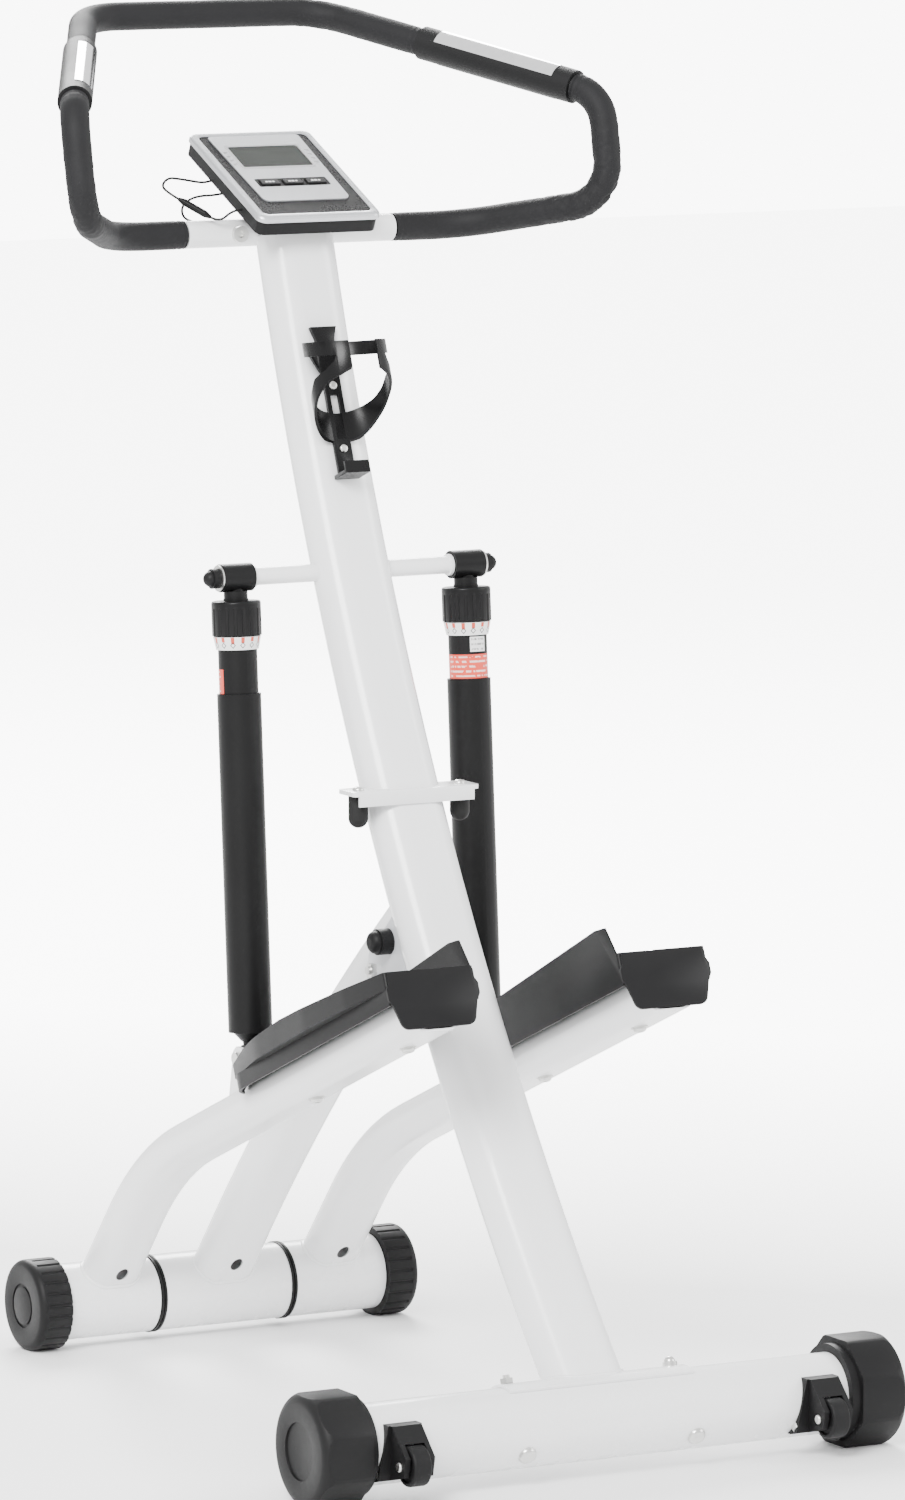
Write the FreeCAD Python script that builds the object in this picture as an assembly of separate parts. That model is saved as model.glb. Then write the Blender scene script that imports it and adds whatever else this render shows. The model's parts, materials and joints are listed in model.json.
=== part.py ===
import FreeCAD, Part
import math
import os

# A stepping machine. Millimetres, +Z up, the user faces +Y, +X is the user's right.

# overall sizes
base_length = 773.0          # between the two stabiliser axes
column_height = 1016.0       # from the column's foot to its top, measured upright
column_reach = 560.0         # how far forward the column's top is from its foot
column_bow = 62.0            # rise of the column's arc over its chord

# stabiliser tubes
tube_r = 38.0
tube_wall = 2.0
seat_gap = 0.1
rear_half = 310.0
rear_cap_wall = 13.0
rear_cap_r = tube_r + rear_cap_wall
rear_cap_len = 58.0
cap_collar = 8.0             # round stretch of the cap next to the tube
cap_collar_wall = 8.0
front_half = 212.0
front_cap_wall = 7.6
front_cap_r = tube_r + front_cap_wall
front_cap_len = 34.0
front_axis_z = 45.0
wheel_r = 19.0
wheel_w = 18.0
wheel_clear = 1.0            # between the wheel and the rear tube
wheel_back = tube_r + wheel_r + wheel_clear
wheel_x = 222.0
wheel_z = 40.0
bracket_wall = 5.0

# main column, strut
column_w = 78.0
column_d = 50.0
column_wall = 2.0
foot_y = 33.0                # column foot ahead of the rear tube's axis
foot_z = 95.0
strut_w = 64.0
strut_d = 40.0
strut_top_z = 484.0
strut_bow = 16.0
gusset_t = 4.0
saddle_t = 3.0
saddle_half = 98.0

# pedal arms
arm_x = 124.0
arm_w = 60.0
arm_d = 40.0
arm_wall = 2.0
arm_root_angle = 49.0        # leaves the front tube at this slope
arm_slope = 22.2             # slope under the pedal
arm_bend_r = 340.0
arm_root_len = 112.0
arm_heel_y = 80.4            # arm's open end ahead of the rear tube's axis
hinge_gap = 0.8              # side gap between a turning tube and what is next to it
ring_w = 6.0
centre_half = 70.0
shaft_r = 12.5
bush_wall = 3.5
bush_r = shaft_r + bush_wall
run_gap = 0.05

# pedals
pedal_half = 47.0
pedal_len = 372.0
pedal_bulge = 13.0
sheet_t = 2.5
skirt_drop = 13.0
inner_wall_h = 44.0
outer_wall_h = 20.0
heel_up = 18.0
heel_down = 37.0
heel_half = 45.0             # half the heel plate's width at its top
heel_foot = 37.5             # and at its foot
heel_tab = 3.0               # step at each side, where the plate is folded on

# dampers
damper_x = 125.5
crossbar_r = 8.5
crossbar_z = 795.0
eye_r = 13.5
eye_len = 33.0
knob_r = 23.8
knob_len = 34.0
dial_len = 12.5
body_r = 18.8
sleeve_gap = 0.4
sleeve_wall = 2.0
sleeve_r = body_r + sleeve_gap + sleeve_wall
sleeve_top = 111.0
neck_len = 22.0
rod_r = 6.0
lower_pivot_back = 327.0     # behind the front axis
lower_pivot_up = 290.0       # above the front axis
lower_bolt_r = 4.0
lower_eye_gap = 4.8          # open pivot: radial room round the lower bolt

# stop plate
stop_z = 597.0
stop_half = 68.0
bumper_x = 55.0
bumper_r = 9.5
bumper_len = 32.0

# handlebar
grip_up = 3.0                # the bar's centre above and ahead of the column's top
grip_ahead = 13.0
loop_r = 11.0
bar_wall = 1.8
foam_t = 3.2
pulse_t = 5.6
sleeve_half = 113.0
sleeve_t = 2.4
clamp_x = -60.0
low_corner_x = 192.0
wide_x = 286.0
wide_low_back = 132.0        # the loop's corners, behind and above the bar's centre
wide_low_up = 28.0
wide_high_back = 112.0
wide_high_up = 130.0
top_x = 128.0
top_ahead = 184.0
top_up = 202.0

# console
console_w = 134.0
console_l = 172.0
console_t = 20.0
console_tilt = 25.4
console_ahead = 6.0          # its face's centre ahead of and above the bar's centre
console_up = 55.5
button_gap = 0.3

# bottle cage
cage_tall = 142.0
cage_below_top = 96.0        # its upper end below the column's top
cage_r = 37.0
cage_strip = 14.0
cage_t = 3.0
cage_back = 2.6              # gap between the column and the cage's spine
cage_spine_t = 4.0
cage_dip = 0.25              # how far the ring drops for each millimetre outwards
cage_opening = 15.0          # half the gap between the ring's ends
cage_screw_up = 17.0         # screws above and below the cage's middle
cage_screw_down = 46.0

rear_reach = wheel_back + wheel_r
rear_y = (rear_reach - front_cap_r - base_length) / 2
front_y = rear_y + base_length
rear_axis_z = rear_cap_r
hub_y = rear_y + foot_y + column_reach + grip_ahead
grip_z = foot_z + column_height + grip_up
cage_high_z = foot_z + column_height - cage_below_top
cage_low_z = cage_high_z - cage_tall
foam_r = loop_r + foam_t
pulse_r = loop_r + pulse_t
sleeve_tube_r = loop_r + sleeve_t

X = FreeCAD.Vector(1, 0, 0)
Y = FreeCAD.Vector(0, 1, 0)
Z = FreeCAD.Vector(0, 0, 1)
origin = FreeCAD.Vector(0, 0, 0)
nodes = {}


def vec(x, y, z):
    return FreeCAD.Vector(x, y, z)


def rod(p, q, radius):
    return Part.makeCylinder(radius, (q - p).Length, p, q - p)


def pipe(p, q, r_out, r_in):
    return rod(p, q, r_out).cut(rod(p, q, r_in))


def x_rod(x0, x1, y, z, radius):
    return rod(vec(x0, y, z), vec(x1, y, z), radius)


def x_pipe(x0, x1, y, z, r_out, r_in):
    return pipe(vec(x0, y, z), vec(x1, y, z), r_out, r_in)


def box(x0, x1, y0, y1, z0, z1):
    return Part.makeBox(x1 - x0, y1 - y0, z1 - z0, vec(x0, y0, z0))


def mirrored(shape):
    return shape.mirror(origin, X)


def pair(name, shape):
    nodes[name + "_right"] = shape
    nodes[name + "_left"] = mirrored(shape)


def dome(p, direction, radius, height):
    # a low cap standing on p, rounded at its rim
    body = Part.makeCylinder(radius, height, p, direction)
    far = p + FreeCAD.Vector(direction).normalize() * height
    rims = [e for e in body.Edges if (e.CenterOfMass - far).Length < 0.01 and len(e.Vertexes) == 1]
    return body.makeFillet(min(radius, height) * 0.85, rims)


def round_outline(points, z, height):
    # a plate from an outline given as (x, y, corner radius)
    count = len(points)
    edges = []
    ends = []
    for i in range(count):
        before = vec(points[i - 1][0], points[i - 1][1], z)
        here = vec(points[i][0], points[i][1], z)
        after = vec(points[(i + 1) % count][0], points[(i + 1) % count][1], z)
        into = (here - before).normalize()
        out = (after - here).normalize()
        turn = into.getAngle(out)
        back = points[i][2] * math.tan(turn / 2)
        start = here - into * back
        end = here + out * back
        bisector = (out - into).normalize()
        middle = here + bisector * (points[i][2] / math.cos(turn / 2) - points[i][2])
        ends.append((start, middle, end))
    for i in range(count):
        start, middle, end = ends[i]
        if points[i][2] > 0:
            edges.append(Part.Arc(start, middle, end).toShape())
        following = ends[(i + 1) % count][0]
        if (following - end).Length > 1e-6:
            edges.append(Part.makeLine(end, following))
    face = Part.Face(Part.Wire(edges))
    return face.extrude(vec(0, 0, height))


def side_plate(points, x0, x1):
    # a plate whose outline is given as (y, z) and which runs from x0 to x1
    corners = [vec(x0, y, z) for y, z in points]
    face = Part.Face(Part.makePolygon(corners + [corners[0]]))
    return face.extrude(vec(x1 - x0, 0, 0))


def oval_wire(centre, along, width, depth):
    # a flat oval, long across X, in the plane square to along
    up = along.cross(X).normalize()
    r = depth / 2
    half = width / 2 - r
    a = centre + X * half
    b = centre - X * half
    return Part.Wire([
        Part.Arc(a - up * r, a + X * r, a + up * r).toShape(),
        Part.makeLine(a + up * r, b + up * r),
        Part.Arc(b + up * r, b - X * r, b - up * r).toShape(),
        Part.makeLine(b - up * r, a - up * r)])


def oval_sweep(path, centre, along, width, depth):
    return path.makePipeShell([oval_wire(centre, along, width, depth)], True, False)


def oval_tube(path, centre, along, width, depth, wall):
    outer = oval_sweep(path, centre, along, width, depth)
    inner = oval_sweep(path, centre, along, width - 2 * wall, depth - 2 * wall)
    return outer.cut(inner)


def route(points, radii):
    # straight runs joined by tangent arcs
    pieces = []
    here = points[0]
    for i in range(1, len(points) - 1):
        into = (points[i] - points[i - 1]).normalize()
        out = (points[i + 1] - points[i]).normalize()
        turn = into.getAngle(out)
        back = radii[i - 1] * math.tan(turn / 2)
        start = points[i] - into * back
        end = points[i] + out * back
        axis = into.cross(out).normalize()
        centre = start + axis.cross(into) * radii[i - 1]
        pieces.append(("line", here, start, (start - here).Length))
        pieces.append(("arc", start, centre, axis, turn, radii[i - 1] * turn))
        here = end
    pieces.append(("line", here, points[-1], (points[-1] - here).Length))
    return pieces


def piece_point(piece, distance):
    if piece[0] == "line":
        return piece[1] + (piece[2] - piece[1]).normalize() * distance
    turned = FreeCAD.Rotation(piece[3], math.degrees(piece[4] * distance / piece[5]))
    return piece[2] + turned.multVec(piece[1] - piece[2])


def route_length(pieces):
    return sum(piece[-1] for piece in pieces)


def route_wire(pieces, start, end):
    edges = []
    at = 0.0
    for piece in pieces:
        low = max(start - at, 0.0)
        high = min(end - at, piece[-1])
        if high - low > 1e-4:
            p = piece_point(piece, low)
            q = piece_point(piece, high)
            if piece[0] == "line":
                edges.append(Part.makeLine(p, q))
            else:
                edges.append(Part.Arc(p, piece_point(piece, (low + high) / 2), q).toShape())
        at += piece[-1]
    return Part.Wire(edges)


def route_point(pieces, distance):
    at = 0.0
    for piece in pieces:
        if distance <= at + piece[-1]:
            return piece_point(piece, distance - at)
        at += piece[-1]
    return piece_point(pieces[-1], pieces[-1][-1])


def route_rod(pieces, start, end, radius):
    wire = route_wire(pieces, start, end)
    p = route_point(pieces, start)
    along = route_point(pieces, start + 0.01) - p
    ring = Part.Wire(Part.Circle(p, along, radius).toShape())
    return wire.makePipeShell([ring], True, False)


def route_pipe(pieces, start, end, r_out, r_in):
    return route_rod(pieces, start, end, r_out).cut(route_rod(pieces, start, end, r_in))


def cord(name, points, radius):
    radii = []
    for i in range(1, len(points) - 1):
        into = points[i] - points[i - 1]
        out = points[i + 1] - points[i]
        shorter = min(into.Length, out.Length)
        radii.append(0.45 * shorter / math.tan(into.getAngle(out) / 2))
    print(name, "bend radii", [round(r, 1) for r in radii])
    pieces = route(points, radii)
    length = route_length(pieces)
    solid = route_rod(pieces, 0.0, length, radius)
    ratio = solid.Volume / (math.pi * radius ** 2 * length)
    print(name, "length", round(length, 1), "volume over section times length", round(ratio, 4))
    return solid


# ---- column arc -------------------------------------------------------------
foot = vec(0, rear_y + foot_y, foot_z)
column_top = vec(0, rear_y + foot_y + column_reach, foot_z + column_height)
chord = column_top - foot
chord_dir = FreeCAD.Vector(chord).normalize()
bow_dir = vec(0, chord_dir.z, -chord_dir.y)
column_mid = foot + chord * 0.5 + bow_dir * column_bow
arc_r = chord.Length ** 2 / (8 * column_bow) + column_bow / 2
arc_centre = column_mid - bow_dir * arc_r
foot_turn = math.asin(chord.Length / 2 / arc_r)
foot_dir = FreeCAD.Rotation(X, math.degrees(-foot_turn)).multVec(chord_dir)


def column_y(z):
    # the column's centre line at a height
    return arc_centre.y + math.sqrt(arc_r ** 2 - (z - arc_centre.z) ** 2)


def column_dir(z):
    away = vec(0, column_y(z), z) - arc_centre
    along = X.cross(away).normalize()
    return along if along.z > 0 else along * -1


def column_square(z):
    # points out of the column's rear face, towards the user
    along = column_dir(z)
    square = along.cross(X).normalize()
    return square if square.y < 0 else square * -1


# ---- rear stabiliser --------------------------------------------------------
nodes["rear_tube"] = x_pipe(-rear_half + 10, rear_half - 10, rear_y, rear_axis_z, tube_r, tube_r - tube_wall)

corner_r = rear_cap_r / math.cos(math.pi / 8)
octagon = []
for i in range(9):
    turn = math.pi / 8 + i * math.pi / 4
    octagon.append(vec(rear_half - rear_cap_len + cap_collar, rear_y + corner_r * math.cos(turn),
                       rear_axis_z + corner_r * math.sin(turn)))
cap = Part.Face(Part.makePolygon(octagon)).extrude(vec(rear_cap_len - cap_collar, 0, 0))
barrel = x_rod(rear_half - rear_cap_len + cap_collar, rear_half, rear_y, rear_axis_z, corner_r - 1.0)
rim = [e for e in barrel.Edges if abs(e.CenterOfMass.x - rear_half) < 0.01 and len(e.Vertexes) == 1]
barrel = barrel.makeFillet(11.0, rim)
cap = cap.common(barrel)
cap = cap.fuse(x_rod(rear_half - rear_cap_len, rear_half - 20, rear_y, rear_axis_z, tube_r + cap_collar_wall))
cap = cap.cut(x_rod(rear_half - rear_cap_len - 1, rear_half - 10, rear_y, rear_axis_z, tube_r + seat_gap))
cap = cap.cut(x_rod(rear_half - 2.0, rear_half + 1, rear_y, rear_axis_z, 27.0))
pair("rear_cap", cap)

# transport wheels in forked brackets on the tube's rear face
fork_half = wheel_w / 2 + 1.2
bracket = side_plate([(rear_y, rear_axis_z + 24), (rear_y - wheel_back + 14, rear_axis_z + 24),
                      (rear_y - wheel_back - 12, rear_axis_z - 2), (rear_y - wheel_back - 8, rear_axis_z - 20),
                      (rear_y - 30, rear_axis_z - 29), (rear_y, rear_axis_z - 29)],
                     wheel_x - 34, wheel_x + 34)
trapezoid = Part.Face(Part.makePolygon([
    vec(wheel_x - 17, rear_y - 100, rear_axis_z + 24.5), vec(wheel_x + 17, rear_y - 100, rear_axis_z + 24.5),
    vec(wheel_x + 29, rear_y - 100, rear_axis_z - 30), vec(wheel_x - 29, rear_y - 100, rear_axis_z - 30),
    vec(wheel_x - 17, rear_y - 100, rear_axis_z + 24.5)])).extrude(vec(0, 120, 0))
bracket = bracket.common(trapezoid)
bracket = bracket.cut(x_rod(0, 400, rear_y, rear_axis_z, tube_r + seat_gap))
wheel_y = rear_y - wheel_back
bracket = bracket.cut(box(wheel_x - fork_half, wheel_x + fork_half, wheel_y - 60, wheel_y + wheel_r + 1.5,
                          wheel_z - wheel_r - 20, wheel_z + wheel_r + 1.5))
for side in (-1, 1):
    outer = wheel_x + side * (fork_half + bracket_wall)
    far = wheel_x + side * 60
    bracket = bracket.cut(box(min(outer, far), max(outer, far), wheel_y - 60, rear_y - 40.5, 0, 120))
bracket = bracket.cut(x_rod(0, 400, wheel_y, wheel_z, 3.0))
bracket = max(bracket.Solids, key=lambda s: s.Volume)
pair("wheel_bracket", bracket)
wheel = x_rod(wheel_x - wheel_w / 2, wheel_x + wheel_w / 2, wheel_y, wheel_z, wheel_r)
wheel = wheel.makeFillet(2.5, [e for e in wheel.Edges if len(e.Vertexes) == 1 and e.Length > 100])
wheel = wheel.cut(x_rod(0, 400, wheel_y, wheel_z, 3.0 + run_gap))
for side in (-1, 1):
    face_x = wheel_x + side * wheel_w / 2
    wheel = wheel.cut(x_pipe(min(face_x, face_x - side * 2), max(face_x, face_x - side * 2),
                             wheel_y, wheel_z, wheel_r - 4, 6.5))
pair("transport_wheel", wheel)
axle_half = fork_half + bracket_wall
axle = x_rod(wheel_x - axle_half, wheel_x + axle_half, wheel_y, wheel_z, 3.0)
for side in (-1, 1):
    head = dome(vec(wheel_x + side * axle_half, wheel_y, wheel_z), X * side, 4.6, 2.2)
    axle = axle.fuse(head)
axles = [axle, mirrored(axle)]
rivets = []
for x in (wheel_x - 23.5, wheel_x + 23.5):
    out = vec(0, -math.cos(math.radians(33)), -math.sin(math.radians(33)))
    start = vec(x, rear_y, rear_axis_z) + out * (tube_r + 5.5)
    rivets.append(start)
pads = [Part.makeCylinder(5.4, 6.5, s - out * 6.0, out) for s in rivets]
skin = x_rod(0, 400, rear_y, rear_axis_z, tube_r + seat_gap)
rivet_set = Part.makeCompound([p.cut(skin).cut(bracket) for p in pads])
rivet_bodies = [s for s in rivet_set.Solids if s.Volume > 5]
rivet_bodies += [mirrored(r) for r in rivet_bodies]

# saddle under the column
saddle = x_pipe(-saddle_half, saddle_half, rear_y, rear_axis_z, tube_r + seat_gap + saddle_t, tube_r + seat_gap)
wedge_pts = [(rear_y, rear_axis_z)]
for turn in (-22, 30, 84):
    a = math.radians(90 - turn)
    wedge_pts.append((rear_y + 90 * math.cos(a), rear_axis_z + 90 * math.sin(a)))
saddle = saddle.common(side_plate(wedge_pts, -saddle_half, saddle_half))
nodes["saddle_plate"] = saddle
saddle_r = tube_r + seat_gap + saddle_t
bolt_turn = math.radians(90 - 16)
bolt_dir = vec(0, math.cos(bolt_turn), math.sin(bolt_turn))
hex_at = vec(-saddle_half + 11, rear_y, rear_axis_z) + bolt_dir * saddle_r
hex_points = []
flat = bolt_dir.cross(X).normalize()
for i in range(7):
    turn = i * math.pi / 3
    hex_points.append(hex_at + X * (6.6 * math.cos(turn)) + flat * (6.6 * math.sin(turn)))
hex_head = Part.Face(Part.makePolygon(hex_points)).extrude(bolt_dir * 5)
hex_head = hex_head.cut(x_rod(-200, 200, rear_y, rear_axis_z, saddle_r))
hex_bolt = hex_head.fuse(Part.makeCylinder(3.4, 8, hex_at, bolt_dir)).cut(
    x_rod(-200, 200, rear_y, rear_axis_z, saddle_r))
nut_at = vec(saddle_half - 11, rear_y, rear_axis_z) + bolt_dir * (saddle_r - 0.5)
cap_nut = Part.makeCylinder(7.0, 4, nut_at, bolt_dir).fuse(Part.makeSphere(5.4, nut_at + bolt_dir * 4))
cap_nut = cap_nut.cut(x_rod(-200, 200, rear_y, rear_axis_z, saddle_r))
heads = []
for x in (-90.0, 90.0):
    out = vec(0, -math.cos(math.radians(31)), -math.sin(math.radians(31)))
    start = vec(x, rear_y, rear_axis_z) + out * (tube_r - 1)
    head = dome(start, out, 9.0, 5.5)
    heads.append(head.cut(x_rod(-300, 300, rear_y, rear_axis_z, tube_r)))
nodes["base_fixings"] = Part.makeCompound(heads + rivet_bodies + axles + [hex_bolt, cap_nut])

# ---- column -----------------------------------------------------------------
into_tube = 46.0
start = foot - foot_dir * into_tube
path = Part.Wire([Part.makeLine(start, foot), Part.Arc(foot, column_mid, column_top).toShape()])
column = oval_tube(path, start, foot_dir, column_w, column_d, column_wall)
column = column.cut(x_rod(-100, 100, rear_y, rear_axis_z, saddle_r))
column = max(column.Solids, key=lambda s: s.Volume)
sleeve_hole = x_rod(-100, 100, hub_y, grip_z, sleeve_tube_r)
crossbar_y = column_y(crossbar_z)
column = column.cut(x_rod(-100, 100, crossbar_y, crossbar_z, crossbar_r))

# ---- front stabiliser -------------------------------------------------------
nodes["pivot_shaft"] = x_rod(-front_half + 8, front_half - 8, front_y, front_axis_z, shaft_r)
centre = x_pipe(-centre_half, centre_half, front_y, front_axis_z, tube_r, tube_r - tube_wall)
for side in (-1, 1):
    edge = side * (centre_half - 6)
    centre = centre.fuse(x_pipe(min(edge, side * centre_half), max(edge, side * centre_half),
                                front_y, front_axis_z, tube_r - 1, shaft_r))
centre = centre.removeSplitter()
ring = x_pipe(centre_half, centre_half + ring_w, front_y, front_axis_z, tube_r + 1.0, shaft_r)
ring = ring.cut(x_pipe(centre_half + ring_w / 2 - 0.6, centre_half + ring_w / 2 + 0.6,
                       front_y, front_axis_z, tube_r + 3, tube_r - 0.4))
hinge_x0 = centre_half + ring_w + hinge_gap
hinge_x1 = front_half - front_cap_len - hinge_gap
bush = x_pipe(centre_half + ring_w, front_half - front_cap_len, front_y, front_axis_z, bush_r, shaft_r)
bush = bush.fuse(ring).removeSplitter()
nodes["pivot_bushes"] = Part.makeCompound([bush, mirrored(bush)])
cap = x_rod(front_half - front_cap_len, front_half, front_y, front_axis_z, front_cap_r)
rim = [e for e in cap.Edges if abs(e.CenterOfMass.x - front_half) < 0.01 and len(e.Vertexes) == 1]
cap = cap.makeFillet(7.0, rim)
cap = cap.cut(box(100, 300, front_y - 60, front_y + 60, -10, 0))
for i in range(24):
    turn = math.radians(i * 15 + 7.5)
    if math.sin(turn) > -0.93:
        y = front_y + (front_cap_r + 0.9) * math.cos(turn)
        z = front_axis_z + (front_cap_r + 0.9) * math.sin(turn)
        cap = cap.cut(x_rod(front_half - front_cap_len - 1, front_half - 8, y, z, 2.0))
cap = cap.cut(x_pipe(front_half - 1.5, front_half + 1, front_y, front_axis_z, 22.0, 19.0))
cap = cap.cut(x_rod(100, front_half - 8, front_y, front_axis_z, shaft_r))
pair("front_cap", cap)

# strut from the middle of the front tube to the column
strut_foot_dir = vec(0, -math.cos(math.radians(48)), math.sin(math.radians(48)))
strut_foot = vec(0, front_y, front_axis_z) + strut_foot_dir * 24
strut_end = vec(0, column_y(strut_top_z) + 16, strut_top_z)
strut_chord = strut_end - strut_foot
strut_dir = FreeCAD.Vector(strut_chord).normalize()
strut_side = vec(0, strut_dir.z, -strut_dir.y)
strut_mid = strut_foot + strut_chord * 0.5 + strut_side * strut_bow
strut_path = Part.Wire([Part.Arc(strut_foot, strut_mid, strut_end).toShape()])
half_turn = 2 * math.atan(strut_bow / (strut_chord.Length / 2))
first_dir = FreeCAD.Rotation(X, -math.degrees(half_turn)).multVec(strut_dir)
column_core = oval_sweep(path, start, foot_dir, column_w, column_d)
strut = oval_tube(strut_path, strut_foot, first_dir, strut_w, strut_d, arm_wall)
strut = strut.cut(x_rod(-80, 80, front_y, front_axis_z, tube_r)).cut(column_core)
strut = max(strut.Solids, key=lambda s: s.Volume)
vent = rod(vec(0, front_y - 60, front_axis_z + tube_r - 7), vec(0, front_y, front_axis_z + tube_r - 7), 6.5)
strut = strut.cut(vent)
nodes["centre_tube"] = centre
nodes["strut"] = strut

# gusset plates beside the strut's upper end
plate_x = strut_w / 2
gusset_z = strut_top_z - 40
front_face = vec(0, column_y(gusset_z), gusset_z) - column_square(gusset_z) * (column_d / 2)
outline = [(-10.0, 66.0), (31.0, 26.0), (60.0, 2.0), (64.0, -27.0), (30.0, -44.0), (-14.0, -20.0)]
points = [(front_face.y + a + 2, gusset_z + b - 6) for a, b in outline]
gusset = side_plate(points, plate_x, plate_x + gusset_t)
gusset = gusset.makeFillet(7.0, [e for e in gusset.Edges if abs(e.Length - gusset_t) < 0.01])
gusset = gusset.cut(column_core)
gusset = max(gusset.Solids, key=lambda s: s.Volume)
nodes["strut_gussets"] = Part.makeCompound([gusset, mirrored(gusset)])
pin_y = front_face.y + 22
pin_z = gusset_z + 12
bolt_y = front_face.y + 52
bolt_z = gusset_z - 20
x0 = plate_x + gusset_t
gusset_cap = x_rod(x0, x0 + 13, pin_y, pin_z, 12.5).fuse(dome(vec(x0 + 13, pin_y, pin_z), X, 11.0, 8.0))
hexes = []
for side in (-1, 1):
    ring_points = []
    for i in range(7):
        turn = i * math.pi / 3
        ring_points.append(vec(side * x0, bolt_y + 7.5 * math.cos(turn), bolt_z + 7.5 * math.sin(turn)))
    hexes.append(Part.Face(Part.makePolygon(ring_points)).extrude(vec(side * 5, 0, 0)))
    hexes[-1] = hexes[-1].fuse(x_rod(min(side * x0, side * (x0 + 7.5)), max(side * x0, side * (x0 + 7.5)),
                                     bolt_y, bolt_z, 4.0))

# ---- pedal arms -------------------------------------------------------------
root_a = math.radians(arm_root_angle)
slope = math.radians(arm_slope)
root_dir = vec(0, -math.cos(root_a), math.sin(root_a))
arm_dir = vec(0, -math.cos(slope), math.sin(slope))
arm_start = vec(arm_x, front_y - 3.3, front_axis_z + 12.4)
bend_start = arm_start + root_dir * arm_root_len
turn_total = root_a - slope
bend_centre = bend_start + vec(0, -root_dir.z, root_dir.y) * arm_bend_r
spoke = bend_start - bend_centre
bend_mid = bend_centre + FreeCAD.Rotation(X, math.degrees(turn_total / 2)).multVec(spoke)
bend_end = bend_centre + FreeCAD.Rotation(X, math.degrees(turn_total)).multVec(spoke)
heel_gap = (bend_end.y - (front_y - base_length + arm_heel_y)) / math.cos(slope)
arm_end = bend_end + arm_dir * heel_gap
arm_path = Part.Wire([Part.makeLine(arm_start, bend_start), Part.Arc(bend_start, bend_mid, bend_end).toShape(),
                      Part.makeLine(bend_end, arm_end)])
arm_solid = oval_sweep(arm_path, arm_start, root_dir, arm_w, arm_d)
arm = oval_tube(arm_path, arm_start, root_dir, arm_w, arm_d, arm_wall)
arm = arm.cut(x_rod(0, 300, front_y, front_axis_z, tube_r))
arm = max(arm.Solids, key=lambda s: s.Volume)
arm = arm.cut(rod(vec(arm_x, front_y - 60, front_axis_z + tube_r - 7),
                  vec(arm_x, front_y, front_axis_z + tube_r - 7), 6.5))
hinge = x_pipe(hinge_x0, hinge_x1, front_y, front_axis_z, tube_r, tube_r - tube_wall)
for a, b in ((hinge_x0, hinge_x0 + 12), (hinge_x1 - 12, hinge_x1)):
    hinge = hinge.fuse(x_pipe(a, b, front_y, front_axis_z, tube_r - 1, bush_r + run_gap))
hinge = hinge.removeSplitter()


def arm_top(y):
    # height of the arm's upper face above the floor on its straight part
    return bend_end.z + (bend_end.y - y) * math.tan(slope) + arm_d / 2 / math.cos(slope)


# ---- pedals: built flat, with the heel at y = 0 and the toe along +y -----------------------
arm_up = vec(0, math.sin(slope), math.cos(slope))
heel_point = arm_end + arm_up * (arm_d / 2)
pedal_place = FreeCAD.Placement(heel_point, FreeCAD.Rotation(X, -arm_slope))


def placed(shape):
    moved = shape.copy()
    moved.Placement = pedal_place.multiply(moved.Placement)
    return moved


half = pedal_half
toe = pedal_len
tray_outline = [(-half, 0, 0), (half, 0, 0), (half, toe - 40, 34), (half - 34, toe - 6, 20),
                (-half + 26, toe - 6, 20), (-half, toe - 34, 30)]
tray = round_outline(tray_outline, -skirt_drop, skirt_drop + sheet_t)
inside = [(-half + sheet_t, -1, 0), (half - sheet_t, -1, 0), (half - sheet_t, toe - 41, 31.5),
          (half - 35, toe - 6 - sheet_t, 17.5), (-half + 27, toe - 6 - sheet_t, 17.5),
          (-half + sheet_t, toe - 35, 27.5)]
tray = tray.cut(round_outline(inside, -skirt_drop - 1, skirt_drop + 1))
tray = tray.cut(box(-arm_w / 2 - 1, arm_w / 2 + 1, toe - 60, toe + 20, -skirt_drop - 1, -0.01))

floor_z = sheet_t
wide = half + pedal_bulge
pan_outline = [(-half, 0, 3), (half, 0, 3), (half + 9, 70, 140), (wide, 150, 220), (half + 9, 262, 160),
               (half - 8, toe - 24, 26), (half - 44, toe + 4, 24),
               (-half + 24, toe + 4, 26), (-half, toe - 46, 40)]
inset = [(-half + sheet_t, sheet_t, 2), (half - sheet_t, sheet_t, 2), (half + 9 - sheet_t, 70, 140),
         (wide - sheet_t, 150, 217), (half + 9 - sheet_t, 262, 157), (half - 9.5, toe - 25, 24),
         (half - 44, toe + 4 - sheet_t, 22), (-half + 25, toe + 4 - sheet_t, 24),
         (-half + sheet_t, toe - 47, 38)]
full_h = inner_wall_h + 4
pan = round_outline(pan_outline, floor_z, full_h)
pan = pan.cut(round_outline(inset, floor_z + sheet_t, full_h))
top = floor_z + sheet_t
inner_keep = Part.Face(Part.makePolygon([
    vec(-half - 5, -5, floor_z - 1), vec(-half - 5, toe + 20, floor_z - 1), vec(-half - 5, toe + 20, top + 6),
    vec(-half - 5, toe - 20, top + 9), vec(-half - 5, 240, top + inner_wall_h - 12),
    vec(-half - 5, 34, top + inner_wall_h), vec(-half - 5, 16, top + inner_wall_h - 2),
    vec(-half - 5, 4, top + heel_up - 4), vec(-half - 5, -5, top + heel_up - 4),
    vec(-half - 5, -5, floor_z - 1)])).extrude(vec(half - 8, 0, 0))
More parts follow.
